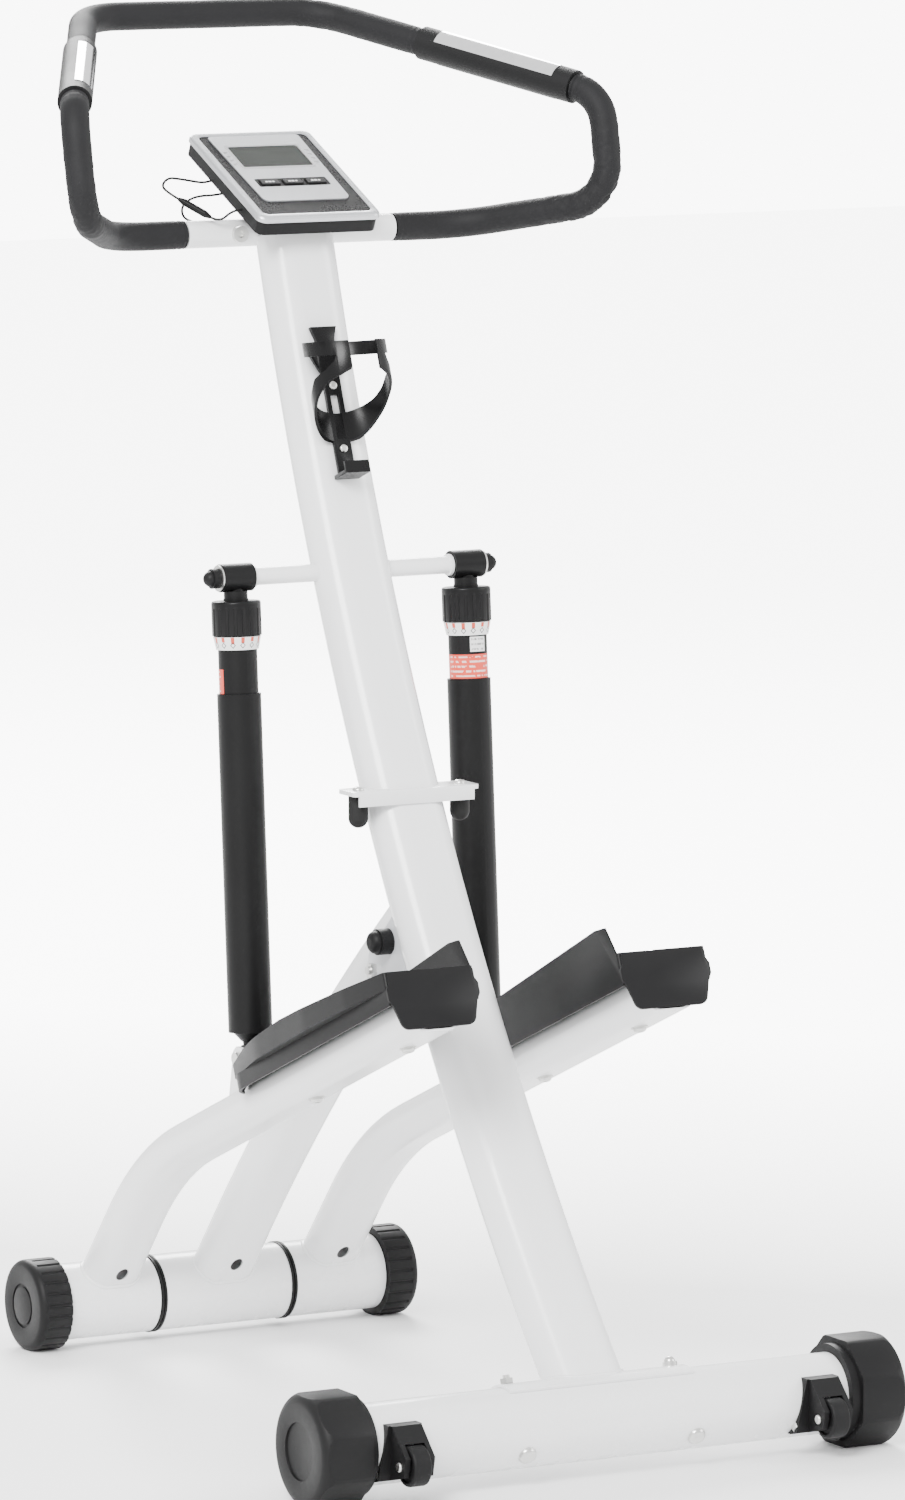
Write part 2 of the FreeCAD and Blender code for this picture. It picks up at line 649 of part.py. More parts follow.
outer_keep = Part.Face(Part.makePolygon([
    vec(-8, -5, floor_z - 1), vec(-8, toe + 20, floor_z - 1), vec(-8, toe + 20, top + 6),
    vec(-8, toe - 20, top + 9),
    vec(-8, 300, top + outer_wall_h - 4), vec(-8, 200, top + outer_wall_h), vec(-8, -5, top + heel_up - 4),
    vec(-8, -5, floor_z - 1)])).extrude(vec(wide + 20, 0, 0))
pan = pan.common(inner_keep.fuse(outer_keep))
pad_outline = [(-half + 7, 9, 6), (half - 7, 9, 6), (half + 1, 80, 90), (wide - 9, 160, 120), (half, 250, 90),
               (half - 16, toe - 40, 20), (half - 46, toe - 12, 14), (-half + 32, toe - 12, 14),
               (-half + 7, toe - 60, 24)]
pad = round_outline(pad_outline, top, 2.0)
ribs = []
for i in range(13):
    y = 30 + i * 24
    ribs.append(box(-half + 14, half - 14, y, y + 9, top + 1.0, top + 3))
pad = pad.cut(Part.makeCompound(ribs))
pair("tread_pad", placed(pad))

# heel plate: an apron across the heel that covers the arm's end
tab_low = -0.32 * heel_down
plate = [(heel_foot, -heel_down, 9), (heel_half - 1, tab_low - 3, 2), (heel_half + heel_tab, tab_low + 4, 2),
         (heel_half + heel_tab, tab_low + 14, 3), (heel_half, tab_low + 19, 2), (heel_half, heel_up, 4)]
plate += [(-x, z, r) for x, z, r in reversed(plate)]
heel = round_outline(plate, 0.0, sheet_t)
heel.rotate(origin, X, 90)
pedal_sheet = placed(tray.fuse(pan).fuse(heel).removeSplitter())
pair("pedal_pan", max(pedal_sheet.cut(arm_solid).Solids, key=lambda s: s.Volume))
bolts = []
for y in (66.0, 262.0):
    bottom = -arm_d
    head = dome(vec(0, y, bottom), vec(0, 0, -1), 6.2, 3.6)
    washer = Part.makeCylinder(8.0, 1.2, vec(0, y, bottom - 1.2), Z)
    head = head.translated(vec(0, 0, -1.2)).fuse(washer)
    socket = Part.makeCylinder(2.2, 3, vec(0, y, bottom - 7), Z)
    bolts.append(head.cut(socket))
bolts = placed(Part.makeCompound(bolts))

# ---- dampers ----------------------------------------------------------------
upper = vec(damper_x, crossbar_y, crossbar_z)
lower = vec(damper_x, front_y - lower_pivot_back, front_axis_z + lower_pivot_up)
axis_down = (lower - upper).normalize()
reach = (lower - upper).Length


def along(distance):
    return upper + axis_down * distance


x0 = damper_x - eye_len / 2
x1 = damper_x + eye_len / 2
eye = x_rod(x0, x1, crossbar_y, crossbar_z, eye_r)
eye = eye.fuse(rod(along(6), along(neck_len - 6), 8.0))
eye = eye.fuse(rod(along(neck_len - 9), along(neck_len - 1), 11.5))
stem_r = 12.0
eye = eye.fuse(rod(along(neck_len - 2), along(neck_len + knob_len + dial_len), stem_r))
eye = eye.cut(x_rod(0, 300, crossbar_y, crossbar_z, crossbar_r + run_gap))
knob_top = neck_len
knob_low = neck_len + knob_len - hinge_gap
knob = rod(along(knob_top), along(knob_low), knob_r)
knob = knob.makeFillet(2.5, [e for e in knob.Edges if len(e.Vertexes) == 1 and e.Length > 100
                             and (e.CenterOfMass - along(knob_top)).Length < 0.1])
side = axis_down.cross(X).normalize()
for i in range(18):
    turn = math.radians(i * 20)
    centre_at = X * math.cos(turn) * (knob_r + 1.4) + side * math.sin(turn) * (knob_r + 1.4)
    knob = knob.cut(rod(along(knob_top + 7) + centre_at, along(knob_low + 1) + centre_at, 2.4))
knob = knob.cut(rod(along(knob_top - 1), along(knob_low + 1), stem_r + run_gap))
pair("damper_knob", knob)
dial_top = neck_len + knob_len
dial = Part.makeCone(knob_r - 1.0, body_r + 1.6, dial_len, along(dial_top), axis_down)
dial = dial.cut(rod(along(dial_top - 1), along(dial_top + dial_len + 1), stem_r))
pair("damper_dial", dial)
body_top = dial_top + dial_len
body_low = body_top + 258.0
body = rod(along(body_top), along(body_low), body_r)
body = body.cut(rod(along(body_top + 128), along(body_low + 1), rod_r + 0.3))
pair("damper_body", eye.fuse(body).removeSplitter())
sleeve_low = reach - 25.0
sleeve = pipe(along(sleeve_top), along(sleeve_low), sleeve_r, body_r + sleeve_gap)
floor_disc = rod(along(sleeve_low - 4), along(sleeve_low), sleeve_r)
rod_hole = rod(along(sleeve_low - 6), along(sleeve_low + 1), rod_r)
pair("damper_sleeve", sleeve.fuse(floor_disc).removeSplitter().cut(rod_hole))
rod_top = body_top + 134.0
piston = rod(along(rod_top), along(sleeve_low + 8), rod_r)
collar = Part.makeCone(sleeve_r - 4, 9.0, 9.0, along(sleeve_low), axis_down)
neck = Part.makeCone(8.5, 7.0, reach - sleeve_low - 12, along(sleeve_low + 4), axis_down)
lower_eye_r = lower_bolt_r + lower_eye_gap + 4.0
lower_eye = x_rod(damper_x - 8, damper_x + 8, lower.y, lower.z, lower_eye_r)
lower_eye = lower_eye.fuse(neck).fuse(collar).fuse(piston)
lower_eye = lower_eye.cut(x_rod(0, 300, lower.y, lower.z, lower_bolt_r + lower_eye_gap))
pair("damper_rod", lower_eye)

# crossbar and what closes its ends
x_in = damper_x - eye_len / 2 - 0.5
x_out = damper_x + eye_len / 2 + 0.5
crossbar = x_rod(-x_out - 6, x_out + 6, crossbar_y, crossbar_z, crossbar_r)
collars = []
for side in (-1, 1):
    collars.append(x_pipe(min(side * (x_in - 3), side * x_in), max(side * (x_in - 3), side * x_in),
                          crossbar_y, crossbar_z, crossbar_r + 2.0, crossbar_r))
nodes["crossbar"] = crossbar.fuse(collars[0]).fuse(collars[1])
washer = x_pipe(x_out, x_out + 1.5, crossbar_y, crossbar_z, 12.6, crossbar_r)
cap = x_rod(x_out + 1.5, x_out + 9, crossbar_y, crossbar_z, 9.6)
cap = cap.fuse(Part.makeSphere(7.6, vec(x_out + 9, crossbar_y, crossbar_z)))
cap = cap.cut(x_rod(x_out - 10, x_out + 6, crossbar_y, crossbar_z, crossbar_r))
nodes["pivot_caps"] = Part.makeCompound([cap, mirrored(cap), gusset_cap, mirrored(gusset_cap)])

# fork on each arm for the damper's lower eye
cheek = 3.5
fork_in = 10.5
base_z = arm_top(lower.y) - 9
forks = []
for side in (-1, 1):
    xa = damper_x + side * fork_in
    xb = damper_x + side * (fork_in + cheek)
    y0 = lower.y
    z0 = lower.z
    pts = [(y0 - 7, base_z), (y0 + 23, base_z - 16), (y0 + 11, z0 + 6), (y0 + 5, z0 + 11), (y0 - 5, z0 + 11),
           (y0 - 11, z0 + 5)]
    forks.append(side_plate(pts, min(xa, xb), max(xa, xb)))
fork_parts = [f.cut(arm_solid) for f in forks]
fork_parts = [max(f.Solids, key=lambda s: s.Volume) for f in fork_parts]
fork_parts = [f.cut(x_rod(0, 300, lower.y, lower.z, lower_bolt_r)) for f in fork_parts]
arm = arm.fuse(hinge).fuse(fork_parts[0]).fuse(fork_parts[1])
pair("pedal_arm", arm.removeSplitter())
x0 = damper_x - fork_in - cheek
x1 = damper_x + fork_in + cheek
pin = x_rod(x0, x1, lower.y, lower.z, lower_bolt_r)
pin = pin.fuse(x_rod(x1, x1 + 4.5, lower.y, lower.z, 6.6)).fuse(x_rod(x0 - 4.5, x0, lower.y, lower.z, 6.6))
pair("pedal_bolts", Part.makeCompound(bolts.Solids + [pin]))

# ---- stop plate round the column --------------------------------------------
stop_y = column_y(stop_z)
rear_face = stop_y - column_d / 2 / column_dir(stop_z).z
plate = round_outline([(-stop_half, rear_face - 9, 5), (stop_half, rear_face - 9, 5),
                       (stop_half, rear_face + 26, 5), (-stop_half, rear_face + 26, 5)], stop_z - 2, 4)
lip = box(-stop_half + 6, stop_half - 6, rear_face - 9, rear_face - 6, stop_z - 12, stop_z - 1)
nodes["stop_plate"] = max(plate.fuse(lip).cut(column_core).Solids, key=lambda s: s.Volume)
bumper_y = rear_face + 8
bumper_top = stop_z - 2
bumper_ball = vec(bumper_x, bumper_y, bumper_top - bumper_len + bumper_r)
bumper = rod(vec(bumper_x, bumper_y, bumper_top), bumper_ball, bumper_r)
bumper = bumper.fuse(Part.makeSphere(bumper_r, bumper_ball)).removeSplitter()
nodes["stop_bumpers"] = Part.makeCompound([bumper, mirrored(bumper)])
bumper_screw = dome(vec(bumper_x, bumper_y, stop_z + 2), Z, 5.5, 3.4)

# ---- handlebar --------------------------------------------------------------
sleeve = x_rod(-sleeve_half, sleeve_half, hub_y, grip_z, sleeve_tube_r)
sleeve = sleeve.cut(x_rod(-sleeve_half - 1, sleeve_half + 1, hub_y, grip_z, loop_r))
slots = []
for side in (-1, 1):
    for dz in (-1, 1):
        xa = side * (sleeve_half - 38)
        xb = side * (sleeve_half + 1)
        slots.append(box(min(xa, xb), max(xa, xb), hub_y - 0.8, hub_y + 0.8, min(grip_z, grip_z + dz * 20),
                         max(grip_z, grip_z + dz * 20)))
sleeve = sleeve.cut(Part.makeCompound(slots))
sleeve = max(sleeve.Solids, key=lambda s: s.Volume)
column = column.cut(sleeve_hole)
column = max(column.Solids, key=lambda s: s.Volume)
nodes["main_column"] = column
corner = [vec(0, hub_y, grip_z), vec(low_corner_x, hub_y, grip_z),
          vec(wide_x, hub_y - wide_low_back, grip_z + wide_low_up),
          vec(wide_x, hub_y - wide_high_back, grip_z + wide_high_up),
          vec(top_x, hub_y + top_ahead, grip_z + top_up), vec(0, hub_y + top_ahead, grip_z + top_up)]
bend = [75.0, 42.0, 42.0, 60.0]
half_route = route(corner, bend)
total = route_length(half_route)
bar = route_pipe(half_route, 42.0, total, loop_r, loop_r - bar_wall)
nodes["handlebar_loop"] = Part.makeCompound([bar, mirrored(bar)])
grip_start = 0.0
at = 0.0
for i, piece in enumerate(half_route):
    if i == 6:
        grip_start = at + 2.0
    at += piece[-1]
grip_end = grip_start + 181.0
foams = [route_pipe(half_route, sleeve_half + 1, grip_start - 0.5, foam_r, loop_r)]
pulse = route_pipe(half_route, grip_start, grip_end, pulse_r, loop_r)
pulse_a = route_point(half_route, grip_start + 40)
pulse_b = route_point(half_route, grip_start + 41)
grip_dir = (pulse_b - pulse_a).normalize()
grip_p = route_point(half_route, grip_start)
nodes["pulse_grips"] = Part.makeCompound([pulse, mirrored(pulse)])
strips = []
for turn in (58, 238):
    ring = pipe(grip_p + grip_dir * 20, grip_p + grip_dir * 160, pulse_r + 0.6, pulse_r)
    outward = FreeCAD.Rotation(grip_dir, turn).multVec(grip_dir.cross(Z).normalize())
    sweep_side = grip_dir.cross(outward).normalize()
    p0 = grip_p + grip_dir * 10
    wedge = []
    for a in (-34, 0, 34):
        r = math.radians(a)
        wedge.append(p0 + outward * (40 * math.cos(r)) + sweep_side * (40 * math.sin(r)))
    face = Part.Face(Part.makePolygon([p0] + wedge + [p0]))
    strips.append(max(ring.common(face.extrude(grip_dir * 170)).Solids, key=lambda s: s.Volume))
strips += [mirrored(strip) for strip in strips]
nodes["pulse_contacts"] = Part.makeCompound(strips)
foams.append(route_pipe(half_route, grip_end + 0.5, total, foam_r, loop_r))
foams += [mirrored(foam) for foam in foams]
nodes["handlebar_foam"] = Part.makeCompound(foams)
nodes["handlebar_sleeve"] = sleeve
clamp_head_r = 8.0
clamp_face = hub_y - sleeve_tube_r - 5.0
clamp_bolt = rod(vec(clamp_x, hub_y, grip_z), vec(clamp_x, clamp_face, grip_z), clamp_head_r)
clamp_bolt = clamp_bolt.cut(x_rod(-100, 100, hub_y, grip_z, sleeve_tube_r))
clamp_bolt = min(clamp_bolt.Solids, key=lambda s: s.CenterOfMass.y)
socket = rod(vec(clamp_x, clamp_face - 1, grip_z), vec(clamp_x, clamp_face + 4, grip_z), 3.6)
clamp_bolt = clamp_bolt.cut(socket)

# ---- console: built flat round its own centre, then tilted ------------------
tilt = FreeCAD.Rotation(X, console_tilt)
console_place = FreeCAD.Placement(vec(0, hub_y + console_ahead, grip_z + console_up), tilt)


def on_console(shape):
    moved = shape.copy()
    moved.Placement = console_place.multiply(moved.Placement)
    return moved


w = console_w / 2
h = console_l / 2
bezel_t = 6.0
housing = round_outline([(-w + 2, -h + 2, 8), (w - 2, -h + 2, 8), (w - 2, h - 2, 8), (-w + 2, h - 2, 8)],
                        -console_t, console_t - bezel_t)
under = Part.makeBox(console_w - 44, console_l - 60, 8, vec(-w + 22, -h + 30, -console_t - 8))
under = under.makeFillet(5.0, [e for e in under.Edges if abs(e.CenterOfMass.z + console_t + 8) < 0.01
                               or (abs(e.Length - 8) < 0.01)])
hatch_gap = box(-26, 26, 6, 46, -console_t - 9, -console_t - 7)
hatch_gap = hatch_gap.cut(box(-25, 25, 7, 45, -console_t - 10, -console_t))
nodes["console_back"] = on_console(housing.fuse(under).cut(hatch_gap).removeSplitter())
frame = round_outline([(-w, -h, 10), (w, -h, 10), (w, h, 10), (-w, h, 10)], -bezel_t, bezel_t)
rim_edges = [e for e in frame.Edges if abs(e.CenterOfMass.z) < 0.01]
frame = frame.makeChamfer(2.0, rim_edges)
frame = frame.cut(round_outline([(-w + 8, -h + 8, 6), (w - 8, -h + 8, 6), (w - 8, h - 8, 6),
                                 (-w + 8, h - 8, 6)], -2.0, 3))
nodes["console_bezel"] = on_console(frame)
inlay = round_outline([(-w + 8.2, -h + 8.2, 6), (w - 8.2, -h + 8.2, 6), (w - 8.2, h - 8.2, 6),
                       (-w + 8.2, h - 8.2, 6)], -2.0, 1.4)
centre_hole = round_outline([(-w + 20, -h + 32, 8), (w - 20, -h + 32, 8), (w - 17, h - 10, 4),
                             (-w + 17, h - 10, 4)], -3.0, 4)
inlay = inlay.cut(centre_hole)
panel = round_outline([(-w + 20.2, -h + 32.2, 8), (w - 20.2, -h + 32.2, 8), (w - 17.2, h - 10.2, 4),
                       (-w + 17.2, h - 10.2, 4)], -2.0, 2.6)
screen_hole = round_outline([(-38, 13, 3), (38, 13, 3), (38, 54, 3), (-38, 54, 3)], -1.2, 4)
strip_hole = round_outline([(-39, -26, 2), (39, -26, 2), (39, -10, 2), (-39, -10, 2)], -1.2, 4)
panel = panel.cut(screen_hole).cut(strip_hole)
nodes["console_panel"] = on_console(panel)
nodes["console_screen"] = on_console(round_outline([(-37.8, 13.2, 2.8), (37.8, 13.2, 2.8), (37.8, 53.8, 2.8),
                                                    (-37.8, 53.8, 2.8)], -1.2, 1.4))
strip = round_outline([(-38.8, -25.8, 2), (38.8, -25.8, 2), (38.8, -10.2, 2), (-38.8, -10.2, 2)], -1.2, 1.5)
button_names = ("left", "middle", "right")
for name, x in zip(button_names, (-25.0, 0.0, 25.0)):
    hole = box(x - 10 - button_gap, x + 10 + button_gap, -22.5 - button_gap, -13.5 + button_gap, -2, 3)
    strip = strip.cut(hole)
nodes["console_inlay"] = on_console(Part.makeCompound([inlay, strip]))
for name, x in zip(button_names, (-25.0, 0.0, 25.0)):
    key = box(x - 10, x + 10, -22.5, -13.5, -0.15, 1.7)
    key = key.makeFillet(0.7, [e for e in key.Edges if abs(e.CenterOfMass.z - 1.7) < 0.01])
    nodes["button_" + name] = on_console(key)
mount = box(-24, 24, -46, 4, -console_t - 34, -console_t - 8)
mount = on_console(mount)
mount = mount.cut(column_core).cut(x_rod(-100, 100, hub_y, grip_z, sleeve_tube_r))
mount = mount.common(box(-100, 100, -1000, 2000, grip_z - 4, 2000))
nodes["console_mount"] = max(mount.Solids, key=lambda s: s.Volume)

# leads beside the console: one leaves its underside, the other enters its side
lead_r = 1.2
plug_r = 3.4
plug_cone = 6.0
plug_a = vec(-111.6, hub_y + 2.0, grip_z + 31.5)
plug_b = vec(-95.1, hub_y - 10.0, grip_z + 20.1)
plug_dir = (plug_b - plug_a).normalize()
lead_out = console_place.multVec(vec(-w + 22, 30, -console_t - lead_r - 0.3))
lead_end = plug_a - plug_dir * plug_cone
lead_points = [lead_out, lead_out + vec(-13, 0, 0), vec(-72, hub_y + 39, grip_z + 46.5),
               vec(-88.6, hub_y + 34, grip_z + 49.5), vec(-103, hub_y + 29.3, grip_z + 52),
               vec(-118, hub_y + 23.8, grip_z + 54), vec(-129, hub_y + 16.8, grip_z + 46.5),
               lead_end - plug_dir * 9, lead_end]
nodes["sensor_lead"] = cord("sensor_lead", lead_points, lead_r)
plug = rod(plug_a, plug_b, plug_r)
plug = plug.fuse(Part.makeCone(lead_r + 0.6, plug_r, plug_cone, lead_end, plug_dir))
plug = plug.fuse(Part.makeCone(plug_r, lead_r + 0.6, plug_cone, plug_b, plug_dir))
nodes["lead_plug"] = plug
tail_start = plug_b + plug_dir * plug_cone
tail_end = console_place.multVec(vec(-w + 2, -43.5, -console_t + 6))
tail = [tail_start, tail_start + plug_dir * 10, tail_end + vec(-9, 0, 0), tail_end]
nodes["column_lead"] = cord("column_lead", tail, lead_r)

pulse_out = console_place.multVec(vec(-w + 22, 4, -console_t - lead_r - 0.3))
pulse_points = [pulse_out, pulse_out + vec(-12, 0, 0), vec(-70, hub_y + 19.8, grip_z + 35.7),
                vec(-84, hub_y + 20.8, grip_z + 35.5), vec(-95, hub_y + 21.8, grip_z + 33),
                vec(-104.5, hub_y + 21.8, grip_z + 25.5), vec(-103.5, hub_y + 20.8, grip_z + 15.5),
                vec(-96.5, hub_y + 15.3, grip_z + 11), vec(-91, hub_y + 9.1, grip_z + 9.8)]
nodes["pulse_lead"] = cord("pulse_lead", pulse_points, lead_r).cut(
    x_rod(-sleeve_half, sleeve_half, hub_y, grip_z, sleeve_tube_r))

# ---- bottle cage on the column's rear face ----------------------------------
cage_mid_z = (cage_low_z + cage_high_z) / 2
along_col = column_dir(cage_mid_z)
square = column_square(cage_mid_z)
seat = vec(0, column_y(cage_mid_z), cage_mid_z) + square * (column_d / 2)
cage_frame = FreeCAD.Placement(FreeCAD.Matrix(-X.x, square.x, along_col.x, seat.x,
                                              -X.y, square.y, along_col.y, seat.y,
                                              -X.z, square.z, along_col.z, seat.z, 0, 0, 0, 1))


def on_cage(shape):
    moved = shape.copy()
    moved.Placement = cage_frame.multiply(moved.Placement)
    return moved


cage_half = (cage_high_z - cage_low_z) / 2 / along_col.z
spine = box(-9, 9, cage_back, cage_back + cage_spine_t, -cage_half + 4, cage_half - 6)
spine = spine.cut(box(-4.5, 4.5, -1, 30, -0.48 * cage_half, 0.1 * cage_half))
ring_top = cage_half - 14
ring_low = ring_top - cage_strip
centre_off = cage_back + cage_spine_t + cage_r - 1
cage_front = centre_off + cage_r + cage_t
tab_face = Part.Face(Part.makePolygon([
    vec(-9, cage_back, ring_low), vec(9, cage_back, ring_low), vec(10, cage_back, ring_top + 2),
    vec(14, cage_back, cage_half), vec(-14, cage_back, cage_half), vec(-10, cage_back, ring_top + 2),
    vec(-9, cage_back, ring_low)]))
tab = tab_face.extrude(vec(0, cage_spine_t + 1, 0))
shell = Part.makeCylinder(cage_r + cage_t, 2 * cage_half, vec(0, centre_off, -cage_half)).cut(
    Part.makeCylinder(cage_r, 2 * cage_half + 2, vec(0, centre_off, -cage_half - 1)))
dip = cage_dip * cage_front
band = side_plate([(-1, ring_top), (cage_front + 1, ring_top - dip), (cage_front + 1, ring_low - dip),
                   (-1, ring_low)], -60, 60)
# each strap drops from the ring's end and comes back to the spine; shares of the cage's depth and half height
strap_outline = [(1.02, 0.26), (0.87, 0.14), (0.68, 0.05), (0.51, -0.07), (0.27, -0.30), (0.09, -0.50),
                 (-0.04, -0.56), (-0.04, -0.20), (0.09, -0.13), (0.29, -0.03), (0.43, 0.07), (0.55, 0.18),
                 (0.75, 0.24), (0.85, 0.32), (0.90, 0.45), (1.02, 0.50)]
straps = side_plate([(a * cage_front, b * cage_half) for a, b in strap_outline], -60, 60)
opening = box(-cage_opening, cage_opening, centre_off, cage_front + 5, -cage_half, cage_half)
web = Part.Face(Part.makePolygon([
    vec(-24, -1, ring_low + 1), vec(24, -1, ring_low + 1), vec(9, -1, ring_low - 20),
    vec(-9, -1, ring_low - 20),
    vec(-24, -1, ring_low + 1)])).extrude(vec(0, centre_off, 0))
foot_shelf = box(-13, 13, cage_back, centre_off - 14, -cage_half, -cage_half + 4)
foot_lip = box(-13, 13, centre_off - 17, centre_off - 14, -cage_half, -cage_half + 12)
cage = spine.fuse(tab).fuse(foot_shelf).fuse(foot_lip)
cage = cage.fuse(shell.common(band).cut(opening))
cage = cage.fuse(shell.common(straps).cut(opening)).fuse(shell.common(web))
cage = cage.removeSplitter()
for z in (cage_screw_up, -cage_screw_down):
    cage = cage.fuse(box(-7, 7, -6, cage_back + 1, z - 6, z + 6))
cage = cage.cut(column_core.transformed(cage_frame.inverse().toMatrix()))
cage = on_cage(max(cage.Solids, key=lambda s: s.Volume))
nodes["bottle_cage"] = cage
screws = []
for z in (cage_screw_up, -cage_screw_down):
    screws.append(dome(vec(0, cage_back + cage_spine_t, z), Y, 4.2, 2.4))
screws = on_cage(Part.makeCompound(screws)).Solids
nodes["column_fixings"] = Part.makeCompound(screws + hexes + [washer, mirrored(washer), bumper_screw,
                                                              mirrored(bumper_screw), clamp_bolt])

# ---- hand over --------------------------------------------------------------
os.makedirs("parts", exist_ok=True)
for name, shape in nodes.items():
    shape.exportStep("parts/" + name + ".step")
print(len(nodes), "nodes")
for name, shape in nodes.items():
    if not shape.isValid() or shape.Volume <= 0 or not shape.Solids:
        print("bad", name, shape.isValid(), shape.Volume, len(shape.Solids))
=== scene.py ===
import bpy
import bmesh
import json
import math
from mathutils import Matrix, Vector


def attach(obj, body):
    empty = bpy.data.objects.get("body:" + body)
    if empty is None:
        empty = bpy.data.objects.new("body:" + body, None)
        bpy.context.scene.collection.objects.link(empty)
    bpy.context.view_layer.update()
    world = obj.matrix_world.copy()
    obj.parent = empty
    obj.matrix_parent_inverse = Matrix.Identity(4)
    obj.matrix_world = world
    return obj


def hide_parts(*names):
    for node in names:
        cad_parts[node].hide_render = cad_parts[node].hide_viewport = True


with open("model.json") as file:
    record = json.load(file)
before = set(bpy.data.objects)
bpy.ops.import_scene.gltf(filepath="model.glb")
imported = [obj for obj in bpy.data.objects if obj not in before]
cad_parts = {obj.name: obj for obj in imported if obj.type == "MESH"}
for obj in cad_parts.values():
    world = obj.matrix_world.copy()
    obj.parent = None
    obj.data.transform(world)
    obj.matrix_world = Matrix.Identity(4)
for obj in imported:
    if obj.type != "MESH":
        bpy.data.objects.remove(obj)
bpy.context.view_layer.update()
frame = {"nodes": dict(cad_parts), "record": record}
nodes = frame["nodes"]
scene = bpy.context.scene
print("frame loaded,", len(nodes), "nodes")


# camera and light
cameraPlace = {"azimuth": -28.79, "elevation": 7.45, "distance": 8.482, "target": (0.0418, -0.0208, 0.6328),
               "lens": 213.3, "sensor": 36, "nearest": 0.1, "farthest": 60}


def addCamera(place):
    around = math.radians(place["azimuth"])
    up = math.radians(place["elevation"])
    back = Vector((math.sin(around) * math.cos(up), -math.cos(around) * math.cos(up), math.sin(up)))
    data = bpy.data.cameras.new("camera")
    data.lens = place["lens"]
    data.sensor_width = place["sensor"]
    data.clip_start = place["nearest"]
    data.clip_end = place["farthest"]
    camera = bpy.data.objects.new("camera", data)
    scene.collection.objects.link(camera)
    camera.location = Vector(place["target"]) + back * place["distance"]
    camera.rotation_mode = "QUATERNION"
    camera.rotation_quaternion = (-back).to_track_quat("-Z", "Y")
    scene.camera = camera


addCamera(cameraPlace)

studio = {"world": 1.7, "backdrop": 9.0, "lampsFace": (0, 0, 0.6)}
lamps = {
    "keyLight": {"at": (-3.6, -3.4, 4.4), "size": 2.6, "power": 620},
    "fillLight": {"at": (4.4, -2.6, 2.6), "size": 2.4, "power": 120},
    "backLight": {"at": (1.5, 4.5, 3.6), "size": 3.0, "power": 520},
}


def addLamp(name, spec):
    data = bpy.data.lights.new(name, "AREA")
    data.shape = "DISK"
    data.size = spec["size"]
    data.energy = spec["power"]
    lamp = bpy.data.objects.new(name, data)
    scene.collection.objects.link(lamp)
    lamp.location = spec["at"]
    lamp.rotation_mode = "QUATERNION"
    lamp.rotation_quaternion = (Vector(studio["lampsFace"]) - lamp.location).to_track_quat("-Z", "Y")


for lampName, lampSpec in lamps.items():
    addLamp(lampName, lampSpec)
world = bpy.data.worlds.new("studio")
world.use_nodes = True
background = world.node_tree.nodes["Background"]
background.inputs["Color"].default_value = (1, 1, 1, 1)
direct = world.node_tree.nodes.new("ShaderNodeLightPath")
level = world.node_tree.nodes.new("ShaderNodeMix")
level.inputs["A"].default_value = studio["world"]
level.inputs["B"].default_value = studio["backdrop"]
world.node_tree.links.new(direct.outputs["Is Camera Ray"], level.inputs["Factor"])
world.node_tree.links.new(level.outputs["Result"], background.inputs["Strength"])
scene.world = world
print("camera and lights placed")


# node trees: a Field is a socket that Python operators work on, in shaders and in geometry nodes
class Field:
    def __init__(self, wiring, socket):
        self.wiring = wiring
        self.socket = socket

    def maths(self, operation, first, second=None, clamp=False):
        values = {0: first} if second is None else {0: first, 1: second}
        return self.wiring.node("ShaderNodeMath", {"operation": operation, "use_clamp": clamp}, values)

    def __add__(self, other):
        return self.maths("ADD", self, other)

    def __radd__(self, other):
        return self.maths("ADD", other, self)

    def __sub__(self, other):
        return self.maths("SUBTRACT", self, other)

    def __rsub__(self, other):
        return self.maths("SUBTRACT", other, self)

    def __mul__(self, other):
        return self.maths("MULTIPLY", self, other)

    def __rmul__(self, other):
        return self.maths("MULTIPLY", other, self)

    def __truediv__(self, other):
        return self.maths("DIVIDE", self, other)

    def __abs__(self):
        return self.maths("ABSOLUTE", self)

    def __lt__(self, other):
        return self.maths("LESS_THAN", self, other)

    def __gt__(self, other):
        return self.maths("GREATER_THAN", self, other)

    def wrapped(self):
        return self.maths("FRACT", self)

    def held(self):
        return self.maths("ADD", self, 0.0, True)

    def smaller(self, other):
        return self.maths("MINIMUM", self, other)

    def sine(self):
        return self.maths("SINE", self)


class Wiring:
    def node(self, kind, settings=None, values=None, output=0):
        made = self.tree.nodes.new(kind)
        for key, value in (settings or {}).items():
            setattr(made, key, value)
        for key, value in (values or {}).items():
            self.feed(made.inputs[key], value)
        return Field(self, made.outputs[output])

    def feed(self, socket, value):
        if isinstance(value, Field):
            self.tree.links.new(value.socket, socket)
        else:
            socket.default_value = value


